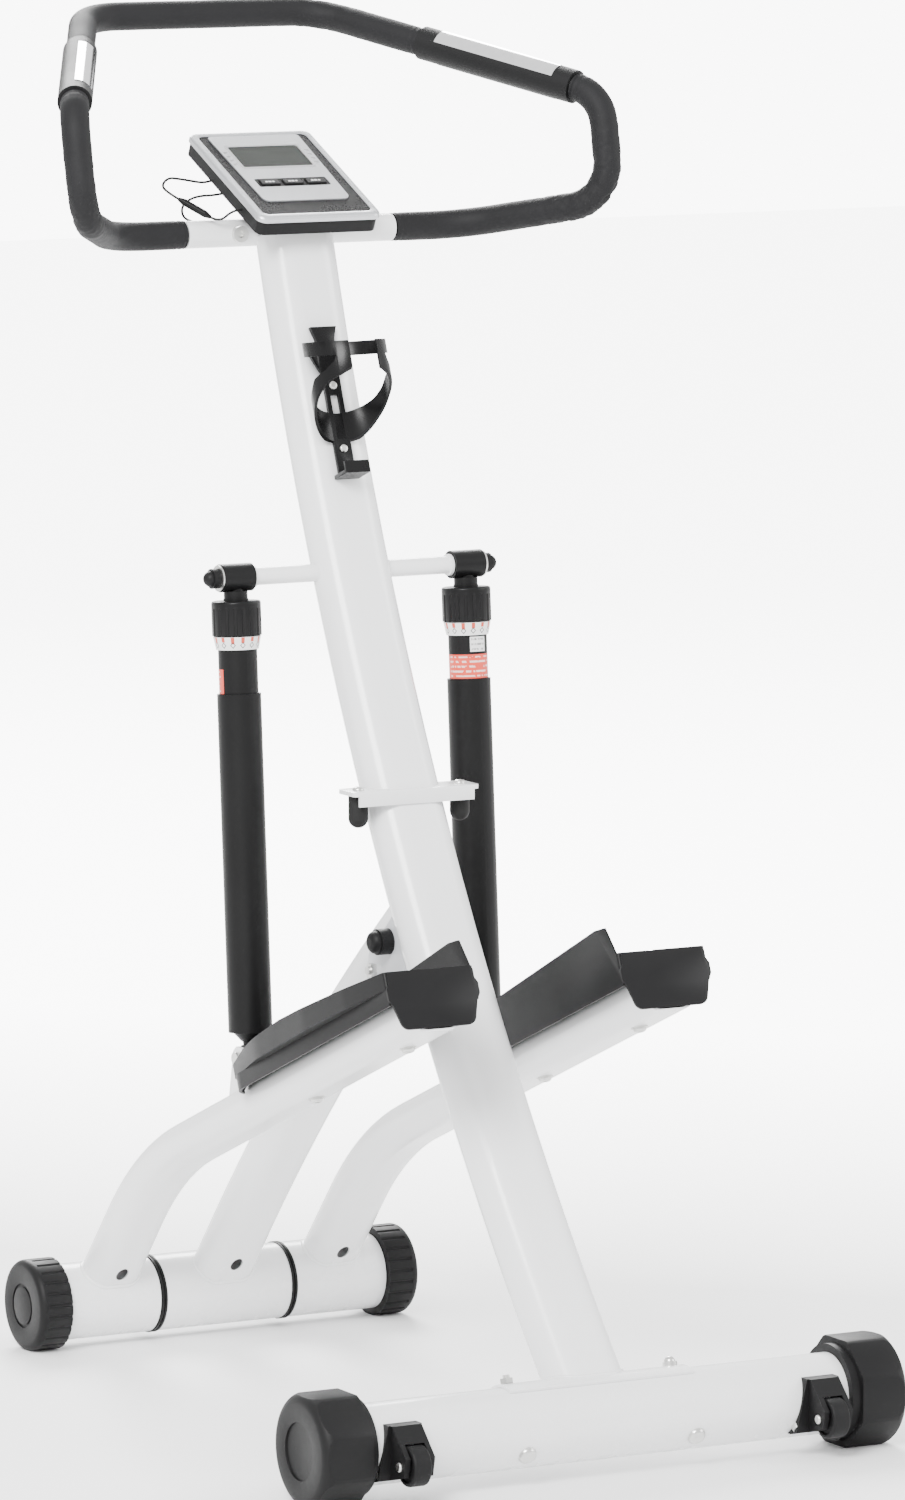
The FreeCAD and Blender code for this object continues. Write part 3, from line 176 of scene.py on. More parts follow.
class Shade(Wiring):
    def __init__(self, name):
        self.material = bpy.data.materials.new(name)
        self.material.use_nodes = True
        self.tree = self.material.node_tree
        self.tree.nodes.clear()
        out = self.tree.nodes.new("ShaderNodeOutputMaterial")
        self.surface = self.tree.nodes.new("ShaderNodeBsdfPrincipled")
        self.tree.links.new(self.surface.outputs[0], out.inputs[0])

    def set(self, **values):
        for key, value in values.items():
            self.feed(self.surface.inputs[key.replace("_", " ")], value)
        return self

    def place(self):
        return self.node("ShaderNodeTexCoord", output=3)

    def uv(self):
        return self.node("ShaderNodeTexCoord", output=2)

    def axis(self, vector, index):
        return self.node("ShaderNodeSeparateXYZ", {}, {0: vector}, index)

    def stretched(self, vector, scale):
        return self.node("ShaderNodeMapping", {}, {"Vector": vector, "Scale": scale})

    def noise(self, vector, scale, detail=3.0, rough=0.5):
        return self.node("ShaderNodeTexNoise", {}, {"Vector": vector, "Scale": scale, "Detail": detail,
                                                   "Roughness": rough})

    def cells(self, vector, scale):
        return self.node("ShaderNodeTexVoronoi", {}, {"Vector": vector, "Scale": scale})

    def blend(self, share, low, high):
        return self.node("ShaderNodeMix", {"data_type": "RGBA"}, {0: share, 6: low, 7: high}, 2)

    def bump(self, height, distance):
        return self.node("ShaderNodeBump", {}, {"Height": height, "Distance": distance, "Strength": 1.0})


def grey(value, tint=0.0):
    return (value, value, value * (1 + tint), 1)


def toned(base, share, lift=0.0):
    # a colour made darker or lighter, with its alpha kept at one
    return tuple(part * share + lift for part in base[:3]) + (1,)


def powderCoat(name, base, shine, peel):
    # gloss powder coat: orange peel, a little cloudiness, dust where it is near the floor
    shade = Shade(name)
    place = shade.place()
    cloud = shade.noise(place, 9.0, 2.0)
    peelNoise = shade.noise(place, 1300.0, 2.0, 0.6)
    height = shade.axis(place, 2)
    dust = ((0.16 - height) * 5.0).held() * (shade.noise(place, 60.0, 4.0) * 1.6 - 0.5).held()
    clean = shade.blend(cloud, toned(base, 0.965), base)
    dusty = shade.blend(dust * 0.12, clean, (0.42, 0.40, 0.37, 1))
    shade.set(Base_Color=dusty, Roughness=(cloud * 0.08 + shine + dust * 0.15).held(),
              Normal=shade.bump(peelNoise, peel), Coat_Weight=0.35, Coat_Roughness=0.12)
    return shade.material


def mouldedPlastic(name, base, shine, grain, grainScale=2600.0):
    # moulded plastic: fine spark-eroded grain, rubbed a little smoother in places
    shade = Shade(name)
    place = shade.place()
    rubbed = shade.noise(place, 14.0, 4.0, 0.6)
    fine = shade.noise(place, grainScale, 2.0, 0.7)
    speck = shade.noise(place, 500.0, 3.0)
    tone = shade.blend(rubbed, toned(base, 0.8), toned(base, 1.25))
    shade.set(Base_Color=tone, Roughness=(rubbed * 0.16 + speck * 0.06 + shine).held(),
              Normal=shade.bump(fine, grain), Specular_IOR_Level=0.16)
    return shade.material


def foamSkin(name):
    # closed-cell foam: dense dull skin with tiny open cells and faint rubbed bands
    shade = Shade(name)
    place = shade.place()
    pits = shade.cells(place, 1500.0)
    soft = shade.noise(place, 420.0, 4.0, 0.6)
    rubbed = shade.noise(place, 22.0, 3.0)
    tone = shade.blend(rubbed, (0.005, 0.005, 0.0055, 1), (0.011, 0.011, 0.012, 1))
    height = soft * 0.7 + pits * 0.5
    shade.set(Base_Color=tone, Roughness=(rubbed * 0.14 + 0.52 + pits * 0.1).held(),
              Normal=shade.bump(height, 0.00012), Specular_IOR_Level=0.2)
    return shade.material


def metal(name, base, rough, along=(1.0, 1.0, 1.0), scratch=0.00001):
    # plated or turned steel: fine lines in one direction, cloudy plating
    shade = Shade(name)
    place = shade.place()
    lines = shade.noise(shade.stretched(place, along), 900.0, 4.0, 0.7)
    cloud = shade.noise(place, 120.0, 3.0)
    tone = shade.blend(cloud, toned(base, 0.82), base)
    shade.set(Base_Color=tone, Metallic=1.0, Roughness=(lines * 0.16 + rough).held(),
              Normal=shade.bump(lines, scratch))
    return shade.material


def rubber(name, base, rough):
    # soft rubber: a faint grey bloom over a fine dull surface
    shade = Shade(name)
    place = shade.place()
    bloom = shade.noise(place, 45.0, 4.0, 0.6)
    fine = shade.noise(place, 1800.0, 3.0, 0.7)
    tone = shade.blend(bloom, base, toned(base, 1.8, 0.003))
    shade.set(Base_Color=tone, Roughness=(bloom * 0.15 + rough).held(), Normal=shade.bump(fine, 0.00005),
              Specular_IOR_Level=0.2)
    return shade.material


def silverPaint(name):
    # metallic paint on plastic: tiny flakes under a clear film
    shade = Shade(name)
    place = shade.place()
    flakes = shade.node("ShaderNodeTexVoronoi", {}, {"Vector": place, "Scale": 5200.0}, 1)
    glint = shade.axis(flakes, 0)
    tone = shade.blend(glint, (0.42, 0.43, 0.45, 1), (0.66, 0.67, 0.69, 1))
    shade.set(Base_Color=tone, Metallic=0.75, Roughness=(glint * 0.12 + 0.3).held(),
              Normal=shade.bump(shade.noise(place, 1500.0), 0.00003), Coat_Weight=0.3, Coat_Roughness=0.2)
    return shade.material


def displayWindow(name):
    # dark window over a liquid crystal panel, with a faint greenish field
    shade = Shade(name)
    place = shade.place()
    cloud = shade.noise(place, 40.0, 2.0)
    tone = shade.blend(cloud, (0.010, 0.012, 0.010, 1), (0.022, 0.027, 0.022, 1))
    shade.set(Base_Color=tone, Roughness=(cloud * 0.05 + 0.16).held(), Specular_IOR_Level=0.22)
    return shade.material


def dialPrint(name):
    # a white ring: red bars hang from its upper rim over a row of plain black diamonds
    shade = Shade(name)
    around = shade.axis(shade.uv(), 0)
    down = shade.axis(shade.uv(), 1)
    cell = (around * 14.0).wrapped()
    tall = (around * 14.0 - cell) * 0.37
    bar = (abs(cell - 0.5) < 0.17) * (down < tall.wrapped() * 0.25 + 0.3)
    away = abs(cell - 0.5) * 0.9 + abs(down - 0.64)
    diamond = (away < 0.26) * (away > 0.17)
    smudge = shade.noise(shade.place(), 300.0, 3.0)
    white = shade.blend(smudge, (0.74, 0.74, 0.73, 1), (0.86, 0.86, 0.85, 1))
    withBars = shade.blend(bar, white, (0.55, 0.06, 0.03, 1))
    withMarks = shade.blend(diamond, withBars, (0.03, 0.03, 0.03, 1))
    shade.set(Base_Color=withMarks, Roughness=(smudge * 0.1 + 0.3).held())
    return shade.material


def labelPrint(name, ground, ink, rows):
    # a stuck-on film label: rows of short plain bars stand where printing would be
    shade = Shade(name)
    across = shade.axis(shade.uv(), 0)
    down = shade.axis(shade.uv(), 1)
    line = (down * rows).wrapped()
    broken = shade.noise(shade.stretched(shade.uv(), (26.0, rows * 1.0, 1.0)), 1.0, 0.0)
    inside = (abs(across - 0.5) < 0.42) * (abs(down - 0.5) < 0.42)
    bar = (abs(line - 0.5) < 0.2) * (broken > 0.45) * inside
    smudge = shade.noise(shade.place(), 200.0, 3.0)
    film = shade.blend(smudge, toned(ground, 0.88), ground)
    tone = shade.blend(bar * 0.75, film, ink)
    shade.set(Base_Color=tone, Roughness=(smudge * 0.12 + 0.34).held(), Coat_Weight=0.2)
    return shade.material


finishes = {
    "whitePaint": powderCoat("whitePaint", (0.84, 0.845, 0.85, 1), 0.2, 0.00004),
    # painted shade: a darker copy of the white powder coat, used on the gusset plates
    "paintedShadeCoat": powderCoat("paintedShadeCoat", (0.50, 0.51, 0.53, 1), 0.32, 0.00003),
    "blackSheet": mouldedPlastic("blackSheet", grey(0.0065, 0.05), 0.30, 0.00003, 1500.0),
    "blackCap": mouldedPlastic("blackCap", grey(0.0060, 0.05), 0.36, 0.00007),
    "blackGloss": mouldedPlastic("blackGloss", grey(0.0045, 0.05), 0.16, 0.00002),
    "blackHousing": mouldedPlastic("blackHousing", grey(0.0060, 0.05), 0.42, 0.0001),
    "damperCoat": mouldedPlastic("damperCoat", grey(0.0050, 0.04), 0.28, 0.00003),
    "knobPlastic": mouldedPlastic("knobPlastic", grey(0.0050, 0.05), 0.2, 0.00004),
    "gripPlastic": mouldedPlastic("gripPlastic", grey(0.0070, 0.05), 0.4, 0.00008),
    "bushPlastic": mouldedPlastic("bushPlastic", grey(0.0070, 0.03), 0.35, 0.00005),
    "keyPlastic": mouldedPlastic("keyPlastic", grey(0.008, 0.03), 0.3, 0.00003),
    "markInk": mouldedPlastic("markInk", grey(0.72), 0.4, 0.00001),
    "tickInk": mouldedPlastic("tickInk", grey(0.16), 0.4, 0.00001),
    "foam": foamSkin("foam"),
    "softRubber": rubber("softRubber", grey(0.006), 0.55),
    "treadRubber": rubber("treadRubber", grey(0.006), 0.6),
    "leadJacket": rubber("leadJacket", grey(0.006), 0.35),
    "plating": metal("plating", (0.72, 0.72, 0.70, 1), 0.22),
    "turnedSteel": metal("turnedSteel", (0.55, 0.55, 0.55, 1), 0.3, (0.05, 1.0, 1.0)),
    "chrome": metal("chrome", (0.86, 0.86, 0.87, 1), 0.04, (1.0, 1.0, 0.1), 0.000003),
    "silver": silverPaint("silver"),
    "window": displayWindow("window"),
    "dialPrint": dialPrint("dialPrint"),
    "redLabel": labelPrint("redLabel", (0.72, 0.06, 0.03, 1), (0.86, 0.74, 0.70, 1), 5.0),
    "whiteLabel": labelPrint("whiteLabel", (0.80, 0.80, 0.79, 1), (0.05, 0.05, 0.05, 1), 3.0),
    "dialWhite": mouldedPlastic("dialWhite", grey(0.72), 0.3, 0.00003),
}

nodeFinish = {
    "rear_tube": "whitePaint", "main_column": "whitePaint", "strut": "whitePaint",
    "centre_tube": "whitePaint", "pedal_arm": "whitePaint", "handlebar_sleeve": "whitePaint",
    "saddle_plate": "whitePaint", "crossbar": "whitePaint", "stop_plate": "whitePaint",
    # painted shade: the gusset plates take the darker copy of the white powder coat
    "strut_gussets": "paintedShadeCoat",
    "rear_cap": "blackCap", "front_cap": "blackCap", "pivot_caps": "blackCap",
    "wheel_bracket": "blackCap", "transport_wheel": "blackHousing",
    "pivot_bushes": "bushPlastic", "pivot_shaft": "turnedSteel", "stop_bumpers": "softRubber",
    "base_fixings": "plating", "column_fixings": "plating", "pedal_bolts": "plating",
    "pedal_pan": "blackSheet", "tread_pad": "treadRubber",
    "damper_body": "damperCoat", "damper_sleeve": "damperCoat", "damper_rod": "damperCoat",
    "damper_dial": "dialWhite", "damper_knob": "knobPlastic",
    "handlebar_loop": "turnedSteel", "handlebar_foam": "foam",
    "pulse_grips": "gripPlastic", "pulse_contacts": "chrome",
    "console_back": "blackHousing", "console_mount": "blackHousing", "console_bezel": "silver",
    "console_panel": "silver", "console_inlay": "blackGloss", "console_screen": "window",
    "button": "keyPlastic", "lead_plug": "blackGloss", "bottle_cage": "blackGloss",
    "sensor_lead": "leadJacket", "column_lead": "leadJacket", "pulse_lead": "leadJacket",
}


def family(node):
    # the name that the left and right copies of a node share
    for ending in ("_left", "_right", "_middle"):
        node = node.replace(ending, "")
    return node


bodies = frame["record"]["behaviour"]["bodies"]
bodyOf = {node: body for body, members in bodies.items() for node in members}
for node, thing in nodes.items():
    thing.data.materials.clear()
    thing.data.materials.append(finishes[nodeFinish[family(node)]])
print("materials made,", len(finishes))


# pieces by mesh work: softened copies, and graphs that repeat or follow a path
softening = {"mergeWithin": 0.00001, "flatWithin": 0.6, "sharpFrom": 32, "smoothBelow": 24, "segments": 2}


def softened(node, width):
    # a copy of a made node with its sharp edges rounded over, shown instead of the node
    shape = bmesh.new()
    shape.from_mesh(nodes[node].data)
    shape.transform(nodes[node].matrix_world)
    bmesh.ops.remove_doubles(shape, verts=shape.verts, dist=softening["mergeWithin"])
    bmesh.ops.dissolve_limit(shape, angle_limit=math.radians(softening["flatWithin"]), verts=shape.verts,
                             edges=shape.edges)
    corners = [edge for edge in shape.edges if len(edge.link_faces) == 2
               and edge.calc_face_angle(0.0) > math.radians(softening["sharpFrom"])]
    bmesh.ops.bevel(shape, geom=corners, offset=width, segments=softening["segments"], profile=0.5,
                    affect="EDGES", clamp_overlap=True)
    bmesh.ops.triangulate(shape, faces=[face for face in shape.faces if len(face.verts) > 4])
    mesh = bpy.data.meshes.new(node + "_soft")
    shape.to_mesh(mesh)
    shape.free()
    mesh.polygons.foreach_set("use_smooth", [True] * len(mesh.polygons))
    mesh.set_sharp_from_angle(angle=math.radians(softening["smoothBelow"]))
    piece = addPiece(node + "_soft", mesh, bodyOf[node], nodeFinish[family(node)])
    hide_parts(node)
    return piece


def addPiece(name, mesh, body, finish):
    # a finished mesh becomes an object that rides on a body
    if not mesh.materials:
        mesh.materials.append(finishes[finish])
    piece = bpy.data.objects.new(name, mesh)
    scene.collection.objects.link(piece)
    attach(piece, body)
    return piece


class Graph(Wiring):
    # a geometry node tree with named inputs; it always has one called Material
    def __init__(self, name, inputs):
        self.tree = bpy.data.node_groups.new(name, "GeometryNodeTree")
        self.tree.interface.new_socket("Geometry", in_out="INPUT", socket_type="NodeSocketGeometry")
        for label, kind in {**inputs, "Material": "NodeSocketMaterial"}.items():
            self.tree.interface.new_socket(label, in_out="INPUT", socket_type=kind)
        self.tree.interface.new_socket("Geometry", in_out="OUTPUT", socket_type="NodeSocketGeometry")
        self.entry = self.tree.nodes.new("NodeGroupInput")
        self.exit = self.tree.nodes.new("NodeGroupOutput")

    def given(self, label):
        return Field(self, self.entry.outputs[label])

    def end(self, geometry):
        whole = self.node("GeometryNodeRealizeInstances", {}, {0: geometry})
        smooth = self.node("GeometryNodeSetShadeSmooth", {}, {0: whole})
        painted = self.node("GeometryNodeSetMaterial", {}, {0: smooth, 2: self.given("Material")})
        self.feed(self.exit.inputs[0], painted)


def pathMesh(name, points, bends=None, closed=False):
    # a chain of edges, with the radius of the bend at each corner as an attribute
    mesh = bpy.data.meshes.new(name)
    count = len(points)
    edges = [(i, (i + 1) % count) for i in range(count if closed else count - 1)]
    mesh.from_pydata([tuple(point) for point in points], edges, [])
    bend = mesh.attributes.new("bend", "FLOAT", "POINT")
    bend.data.foreach_set("value", bends or [0.0] * count)
    return mesh


def baked(name, mesh, graph, values, body, finish):
    # runs a graph on a mesh and keeps only the plain mesh that comes out
    source = bpy.data.objects.new(name + "_source", mesh)
    scene.collection.objects.link(source)
    modifier = source.modifiers.new("graph", "NODES")
    modifier.node_group = graph.tree
    values = {**values, "Material": finishes[finish]}
    for item in graph.tree.interface.items_tree:
        if item.in_out == "INPUT" and item.name in values:
            modifier[item.identifier] = values[item.name]
    seen = source.evaluated_get(bpy.context.evaluated_depsgraph_get())
    made = bpy.data.meshes.new_from_object(seen)
    made.name = name
    bpy.data.objects.remove(source)
    return addPiece(name, made, body, finish)


# softened edges on sheet and moulded pieces
edgeWidths = {
    "pedal_pan": 0.0006, "strut_gussets": 0.0006, "stop_plate": 0.0006, "saddle_plate": 0.0004,
    "rear_cap": 0.0009, "front_cap": 0.0006, "transport_wheel": 0.0005, "stop_bumpers": 0.0005,
    "console_bezel": 0.0005, "console_back": 0.0008, "console_mount": 0.0008,
    "bottle_cage": 0.0005, "damper_knob": 0.0004, "handlebar_sleeve": 0.0003,
}
for node in sorted(nodes):
    if family(node) in edgeWidths:
        softened(node, edgeWidths[family(node)])
print("edges softened")


# handlebar foam: two long stretches and one over the top
handlebar = {
    "centre": (0.0, 0.2352, 1.114),
    "lowCorner": (0.192, 0.2352, 1.114), "lowBend": 0.075,
    "wideLow": (0.286, 0.1032, 1.142), "wideBend": 0.042,
    "wideHigh": (0.286, 0.1232, 1.244),
    "topCorner": (0.128, 0.4192, 1.316), "topBend": 0.060,
    "foamFrom": 0.114, "foamRadius": 0.01418, "gripFrom": 0.0015, "gripPast": 0.1828,
}
foamLook = {
    "ringStep": 0.0016, "ringSides": 44, "bendSteps": 24,
    "rimReach": 0.017, "rimRipples": 1050.0, "rimDepth": 0.0009, "unevenDepth": 0.0005,
    "foldDepthRight": 0.0016, "foldDepthLeft": 0.0009, "foldReach": 0.11,
    "foldDepthTop": 0.0005, "foldReachTop": 0.09,
}


def mirrored(point, side):
    return Vector((point[0] * side, point[1], point[2]))


def bendEnd(before, corner, after, radius):
    # where the arc that rounds a corner ends, on the way to the next corner
    into = (Vector(corner) - Vector(before)).normalized()
    out = (Vector(after) - Vector(corner)).normalized()
    return Vector(corner) + out * (radius * math.tan(into.angle(out) / 2)), out


def foamGraph():
    graph = Graph("foamTube", {"Radius": "NodeSocketFloat", "Fold Depth": "NodeSocketFloat",
                               "Fold Centre": "NodeSocketVector", "Fold Reach": "NodeSocketFloat"})
    bend = graph.node("GeometryNodeInputNamedAttribute", {"data_type": "FLOAT"}, {"Name": "bend"})
    line = graph.node("GeometryNodeMeshToCurve", {}, {0: graph.given("Geometry")})
    rounded = graph.tree.nodes.new("GeometryNodeFilletCurve")
    graph.feed(rounded.inputs["Curve"], line)
    graph.feed(rounded.inputs["Radius"], bend)
    rounded.mode = "POLY"
    rounded.inputs["Count"].default_value = foamLook["bendSteps"]
    even = graph.tree.nodes.new("GeometryNodeResampleCurve")
    even.mode = "LENGTH"
    graph.feed(even.inputs["Curve"], Field(graph, rounded.outputs[0]))
    even.inputs["Length"].default_value = foamLook["ringStep"]
    along = graph.node("GeometryNodeSplineParameter", output=1)
    whole = graph.node("GeometryNodeSplineLength")
    near = along.smaller(whole - along)
    kept = graph.node("GeometryNodeStoreNamedAttribute", {"data_type": "FLOAT", "domain": "POINT"},
                      {"Geometry": Field(graph, even.outputs[0]), "Name": "near", "Value": near})
    ring = graph.node("GeometryNodeCurvePrimitiveCircle", {},
                      {"Resolution": foamLook["ringSides"], "Radius": graph.given("Radius")})
    tube = graph.node("GeometryNodeCurveToMesh", {},
                      {"Curve": kept, "Profile Curve": ring, "Fill Caps": True})
    place = graph.node("GeometryNodeInputPosition")
    end = graph.node("GeometryNodeInputNamedAttribute", {"data_type": "FLOAT"}, {"Name": "near"})
    rings = (end * foamLook["rimRipples"]).sine() * 0.5 + 0.5
    rimFolds = rings * ((foamLook["rimReach"] - end) * 60.0).held() * foamLook["rimDepth"]
    soft = graph.node("ShaderNodeTexNoise", {}, {"Vector": place, "Scale": 26.0, "Detail": 2.0})
    coarse = graph.node("ShaderNodeTexNoise", {}, {"Vector": place, "Scale": 70.0, "Detail": 3.0})
    ridged = 1.0 - abs(coarse - 0.5) * 9.0
    away = graph.node("ShaderNodeVectorMath", {"operation": "DISTANCE"},
                      {0: place, 1: graph.given("Fold Centre")}, 1)
    reach = (1.0 - away / graph.given("Fold Reach")).held()
    folds = ridged.held() * reach * graph.given("Fold Depth")
    depth = (soft * foamLook["unevenDepth"] + rimFolds + folds) * -1.0
    normal = graph.node("GeometryNodeInputNormal")
    inward = graph.node("ShaderNodeVectorMath", {"operation": "SCALE"}, {0: normal, "Scale": depth})
    graph.end(graph.node("GeometryNodeSetPosition", {}, {"Geometry": tube, "Offset": inward}))
    return graph


foamTube = foamGraph()
gripStart, gripWay = bendEnd(handlebar["wideLow"], handlebar["wideHigh"], handlebar["topCorner"],
                             handlebar["wideBend"])
for side, sideName in ((1, "Right"), (-1, "Left")):
    lower = [(handlebar["foamFrom"],) + handlebar["centre"][1:], handlebar["lowCorner"],
             handlebar["wideLow"], handlebar["wideHigh"], gripStart + gripWay * handlebar["gripFrom"]]
    path = pathMesh("foamPath" + sideName, [mirrored(point, side) for point in lower],
                    [0.0, handlebar["lowBend"], handlebar["wideBend"], handlebar["wideBend"], 0.0])
    foam = baked("foam" + sideName, path, foamTube,
                 {"Radius": handlebar["foamRadius"], "Fold Depth": foamLook["foldDepth" + sideName],
                  "Fold Centre": mirrored(handlebar["wideLow"], side), "Fold Reach": foamLook["foldReach"]},
                 "frame", "foam")
    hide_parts("handlebar_foam")
over = [gripStart + gripWay * handlebar["gripPast"], handlebar["topCorner"]]
overTop = [mirrored(point, 1) for point in over] + [mirrored(point, -1) for point in reversed(over)]
path = pathMesh("foamPathTop", overTop, [0.0, handlebar["topBend"], handlebar["topBend"], 0.0])
foam = baked("foamTop", path, foamTube,
             {"Radius": handlebar["foamRadius"], "Fold Depth": foamLook["foldDepthTop"],
              "Fold Centre": handlebar["topCorner"], "Fold Reach": foamLook["foldReachTop"]},
             "frame", "foam")
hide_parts("handlebar_foam")
print("foam made")


# weld beads round the tubes' ends: plain round beads
bead = {"radius": 0.0021, "ringStep": 0.0009, "ringSides": 12}


def beadGraph():
    graph = Graph("weldBead", {"Radius": "NodeSocketFloat"})
    line = graph.node("GeometryNodeMeshToCurve", {}, {0: graph.given("Geometry")})
    even = graph.tree.nodes.new("GeometryNodeResampleCurve")
    even.mode = "LENGTH"
    graph.feed(even.inputs["Curve"], line)
    even.inputs["Length"].default_value = bead["ringStep"]
    ring = graph.node("GeometryNodeCurvePrimitiveCircle", {},
                      {"Resolution": bead["ringSides"], "Radius": graph.given("Radius")})
    graph.end(graph.node("GeometryNodeCurveToMesh", {},
                         {"Curve": Field(graph, even.outputs[0]), "Profile Curve": ring}))
    return graph


def ovalOnTube(start, way, width, depth, axisY, axisZ, radius, count=96):
    # where a flat oval tube, running along way, meets a round tube that lies along X
    way = Vector(way).normalized()
    up = way.cross(Vector((1, 0, 0))).normalized()
    points = []
    for i in range(count):
        turn = 2 * math.pi * i / count
        side = (width - depth) / 2 * (1 if math.cos(turn) >= 0 else -1)
        point = Vector(start) + Vector((side + math.cos(turn) * depth / 2, 0, 0))
        point += up * (math.sin(turn) * depth / 2)
        fromAxis = Vector((0, point.y - axisY, point.z - axisZ))
        half = fromAxis.dot(way)
        inside = half * half - fromAxis.length_squared + radius * radius
        points.append(point + way * (-half + math.sqrt(max(inside, 0.0))))
    return points


tubes = {
    "rear": {"y": -0.3708, "z": 0.051, "radius": 0.0411},
    "front": {"y": 0.4022, "z": 0.045, "radius": 0.038},
    "column": {"at": (0, -0.3378, 0.095), "way": (0, 0.6569, 0.754), "width": 0.078, "depth": 0.050},
    "strut": {"at": (0, 0.3861, 0.0628), "way": (0, -0.6311, 0.7757), "width": 0.064, "depth": 0.040},
    "arm": {"at": (0.124, 0.3989, 0.0574), "way": (0, -0.6561, 0.7547), "width": 0.060, "depth": 0.040},
}
weldBead = beadGraph()
joins = [("columnWeld", "column", "rear", 0, "frame"), ("strutWeld", "strut", "front", 0, "frame"),
         ("armWeldRight", "arm", "front", 1, "arm_right"), ("armWeldLeft", "arm", "front", -1, "arm_left")]
for name, tube, host, side, body in joins:
    part = tubes[tube]
    start = (part["at"][0] * side,) + part["at"][1:]
    ring = ovalOnTube(start, part["way"], part["width"], part["depth"], tubes[host]["y"],
                      tubes[host]["z"], tubes[host]["radius"])
    baked(name, pathMesh(name + "Path", ring, closed=True), weldBead,
          {"Radius": bead["radius"]}, body, "whitePaint")
print("welds made")


# pedal treads: small round studs on the raised bands of each pad
pedal = {"heel": (0.124, -0.2828, 0.4512), "slope": 22.2, "padTop": 0.0070, "padEdge": 0.0006,
         "bands": 12, "bandFrom": 0.0435, "bandInset": 0.0015, "bandPitch": 0.024, "rowPitch": 0.0066,
         "studs": 7, "studPitch": 0.0104, "studRadius": 0.0024, "studHeight": 0.0007, "studSunk": 0.0001}


def studGraph():
    graph = Graph("treadStuds", {"Bands": "NodeSocketInt", "Band Pitch": "NodeSocketFloat",
                                 "Studs": "NodeSocketInt", "Stud Pitch": "NodeSocketFloat",
                                 "Row Pitch": "NodeSocketFloat", "Radius": "NodeSocketFloat",
                                 "Height": "NodeSocketFloat"})
    across = graph.given("Stud Pitch") * (graph.given("Studs") - 1.0)
    rows = graph.node("GeometryNodeMeshGrid", {}, {"Size X": across, "Size Y": graph.given("Row Pitch"),
                                                 "Vertices X": graph.given("Studs"), "Vertices Y": 2})
    step = graph.node("ShaderNodeCombineXYZ", {}, {"Y": graph.given("Band Pitch")})
    bands = graph.node("GeometryNodeMeshLine", {}, {"Count": graph.given("Bands"), "Offset": step})
    spread = graph.node("GeometryNodeInstanceOnPoints", {}, {"Points": bands, "Instance": rows})
    points = graph.node("GeometryNodeRealizeInstances", {}, {0: spread})
    stud = graph.node("GeometryNodeMeshCone", {},
                      {"Vertices": 14, "Radius Top": graph.given("Radius") * 0.72,
                       "Radius Bottom": graph.given("Radius"), "Depth": graph.given("Height")})
    graph.end(graph.node("GeometryNodeInstanceOnPoints", {}, {"Points": points, "Instance": stud}))
    return graph


def pedalPlace(side):
    # from the pad's own axes to where the pedal stands
    return (Matrix.Translation((pedal["heel"][0] * side, pedal["heel"][1], pedal["heel"][2]))
            @ Matrix.Rotation(-math.radians(pedal["slope"]), 4, "X"))


treadStuds = studGraph()
for side, sideName in ((1, "right"), (-1, "left")):
    anchor = bpy.data.meshes.new("treadAnchor")
    anchor.from_pydata([(0, 0, 0)], [], [])
    studs = baked("treadStuds_" + sideName, anchor, treadStuds,
                  {"Bands": pedal["bands"], "Band Pitch": pedal["bandPitch"], "Studs": pedal["studs"],
                   "Stud Pitch": pedal["studPitch"], "Row Pitch": pedal["rowPitch"],
                   "Radius": pedal["studRadius"], "Height": pedal["studHeight"]},
                  "arm_" + sideName, "treadRubber")
    firstRow = pedal["bandFrom"] + pedal["rowPitch"] / 2 - pedal["bandInset"]
    lift = Matrix.Translation((0, firstRow, pedal["padTop"] - pedal["studSunk"]))
    studs.data.transform(pedalPlace(side) @ lift)
    softened("tread_pad_" + sideName, pedal["padEdge"])
print("treads made")


# printed labels and the dials' scales, wrapped round the dampers
damper = {"pivot": (0.1255, 0.1061, 0.795), "way": (0.0, -0.067, -0.9978), "body": 0.0188,
          "dialFrom": 0.0560, "dialTo": 0.0685, "dialTop": 0.0228, "dialLow": 0.0204}
labels = {"film": 0.00012, "stepAngle": 4, "fewestSteps": 12, "scaleRim": 0.0003,
          "warningFrom": 0.087, "warningTo": 0.1105, "warningSpan": 200.0,
          "smallFrom": 0.0700, "smallTo": 0.0845, "smallSpan": 52.0, "smallTurn": -14.0,
          "turnRight": 100.0, "turnLeft": 266.0}


def wrapLabel(name, side, low, high, lowRadius, highRadius, centre, span, finish):
    # a film on a round body: u runs round it, v down it
    way = Vector(damper["way"]).normalized()
    across = Vector((1, 0, 0))
    ahead = way.cross(across).normalized()
    pivot = mirrored(damper["pivot"], side)
    steps = max(labels["fewestSteps"], int(span / labels["stepAngle"]))
    verts = []
    spots = []
    for row, (distance, radius) in enumerate(((low, lowRadius), (high, highRadius))):
        for i in range(steps + 1):
            turn = math.radians(centre + span * (i / steps - 0.5))
            out = across * math.cos(turn) + ahead * math.sin(turn)
            verts.append(pivot + way * distance + out * (radius + labels["film"]))
            spots.append((i / steps, row))
    faces = [(i, i + 1, i + steps + 2, i + steps + 1) for i in range(steps)]
    mesh = bpy.data.meshes.new(name)
    mesh.from_pydata([tuple(vert) for vert in verts], [], faces)
    layer = mesh.uv_layers.new(name="label")
    for loop in mesh.loops:
        layer.data[loop.index].uv = spots[loop.vertex_index]
    mesh.polygons.foreach_set("use_smooth", [True] * len(faces))
    sideName = "right" if side > 0 else "left"
    addPiece(name, mesh, "damper_" + sideName, finish)


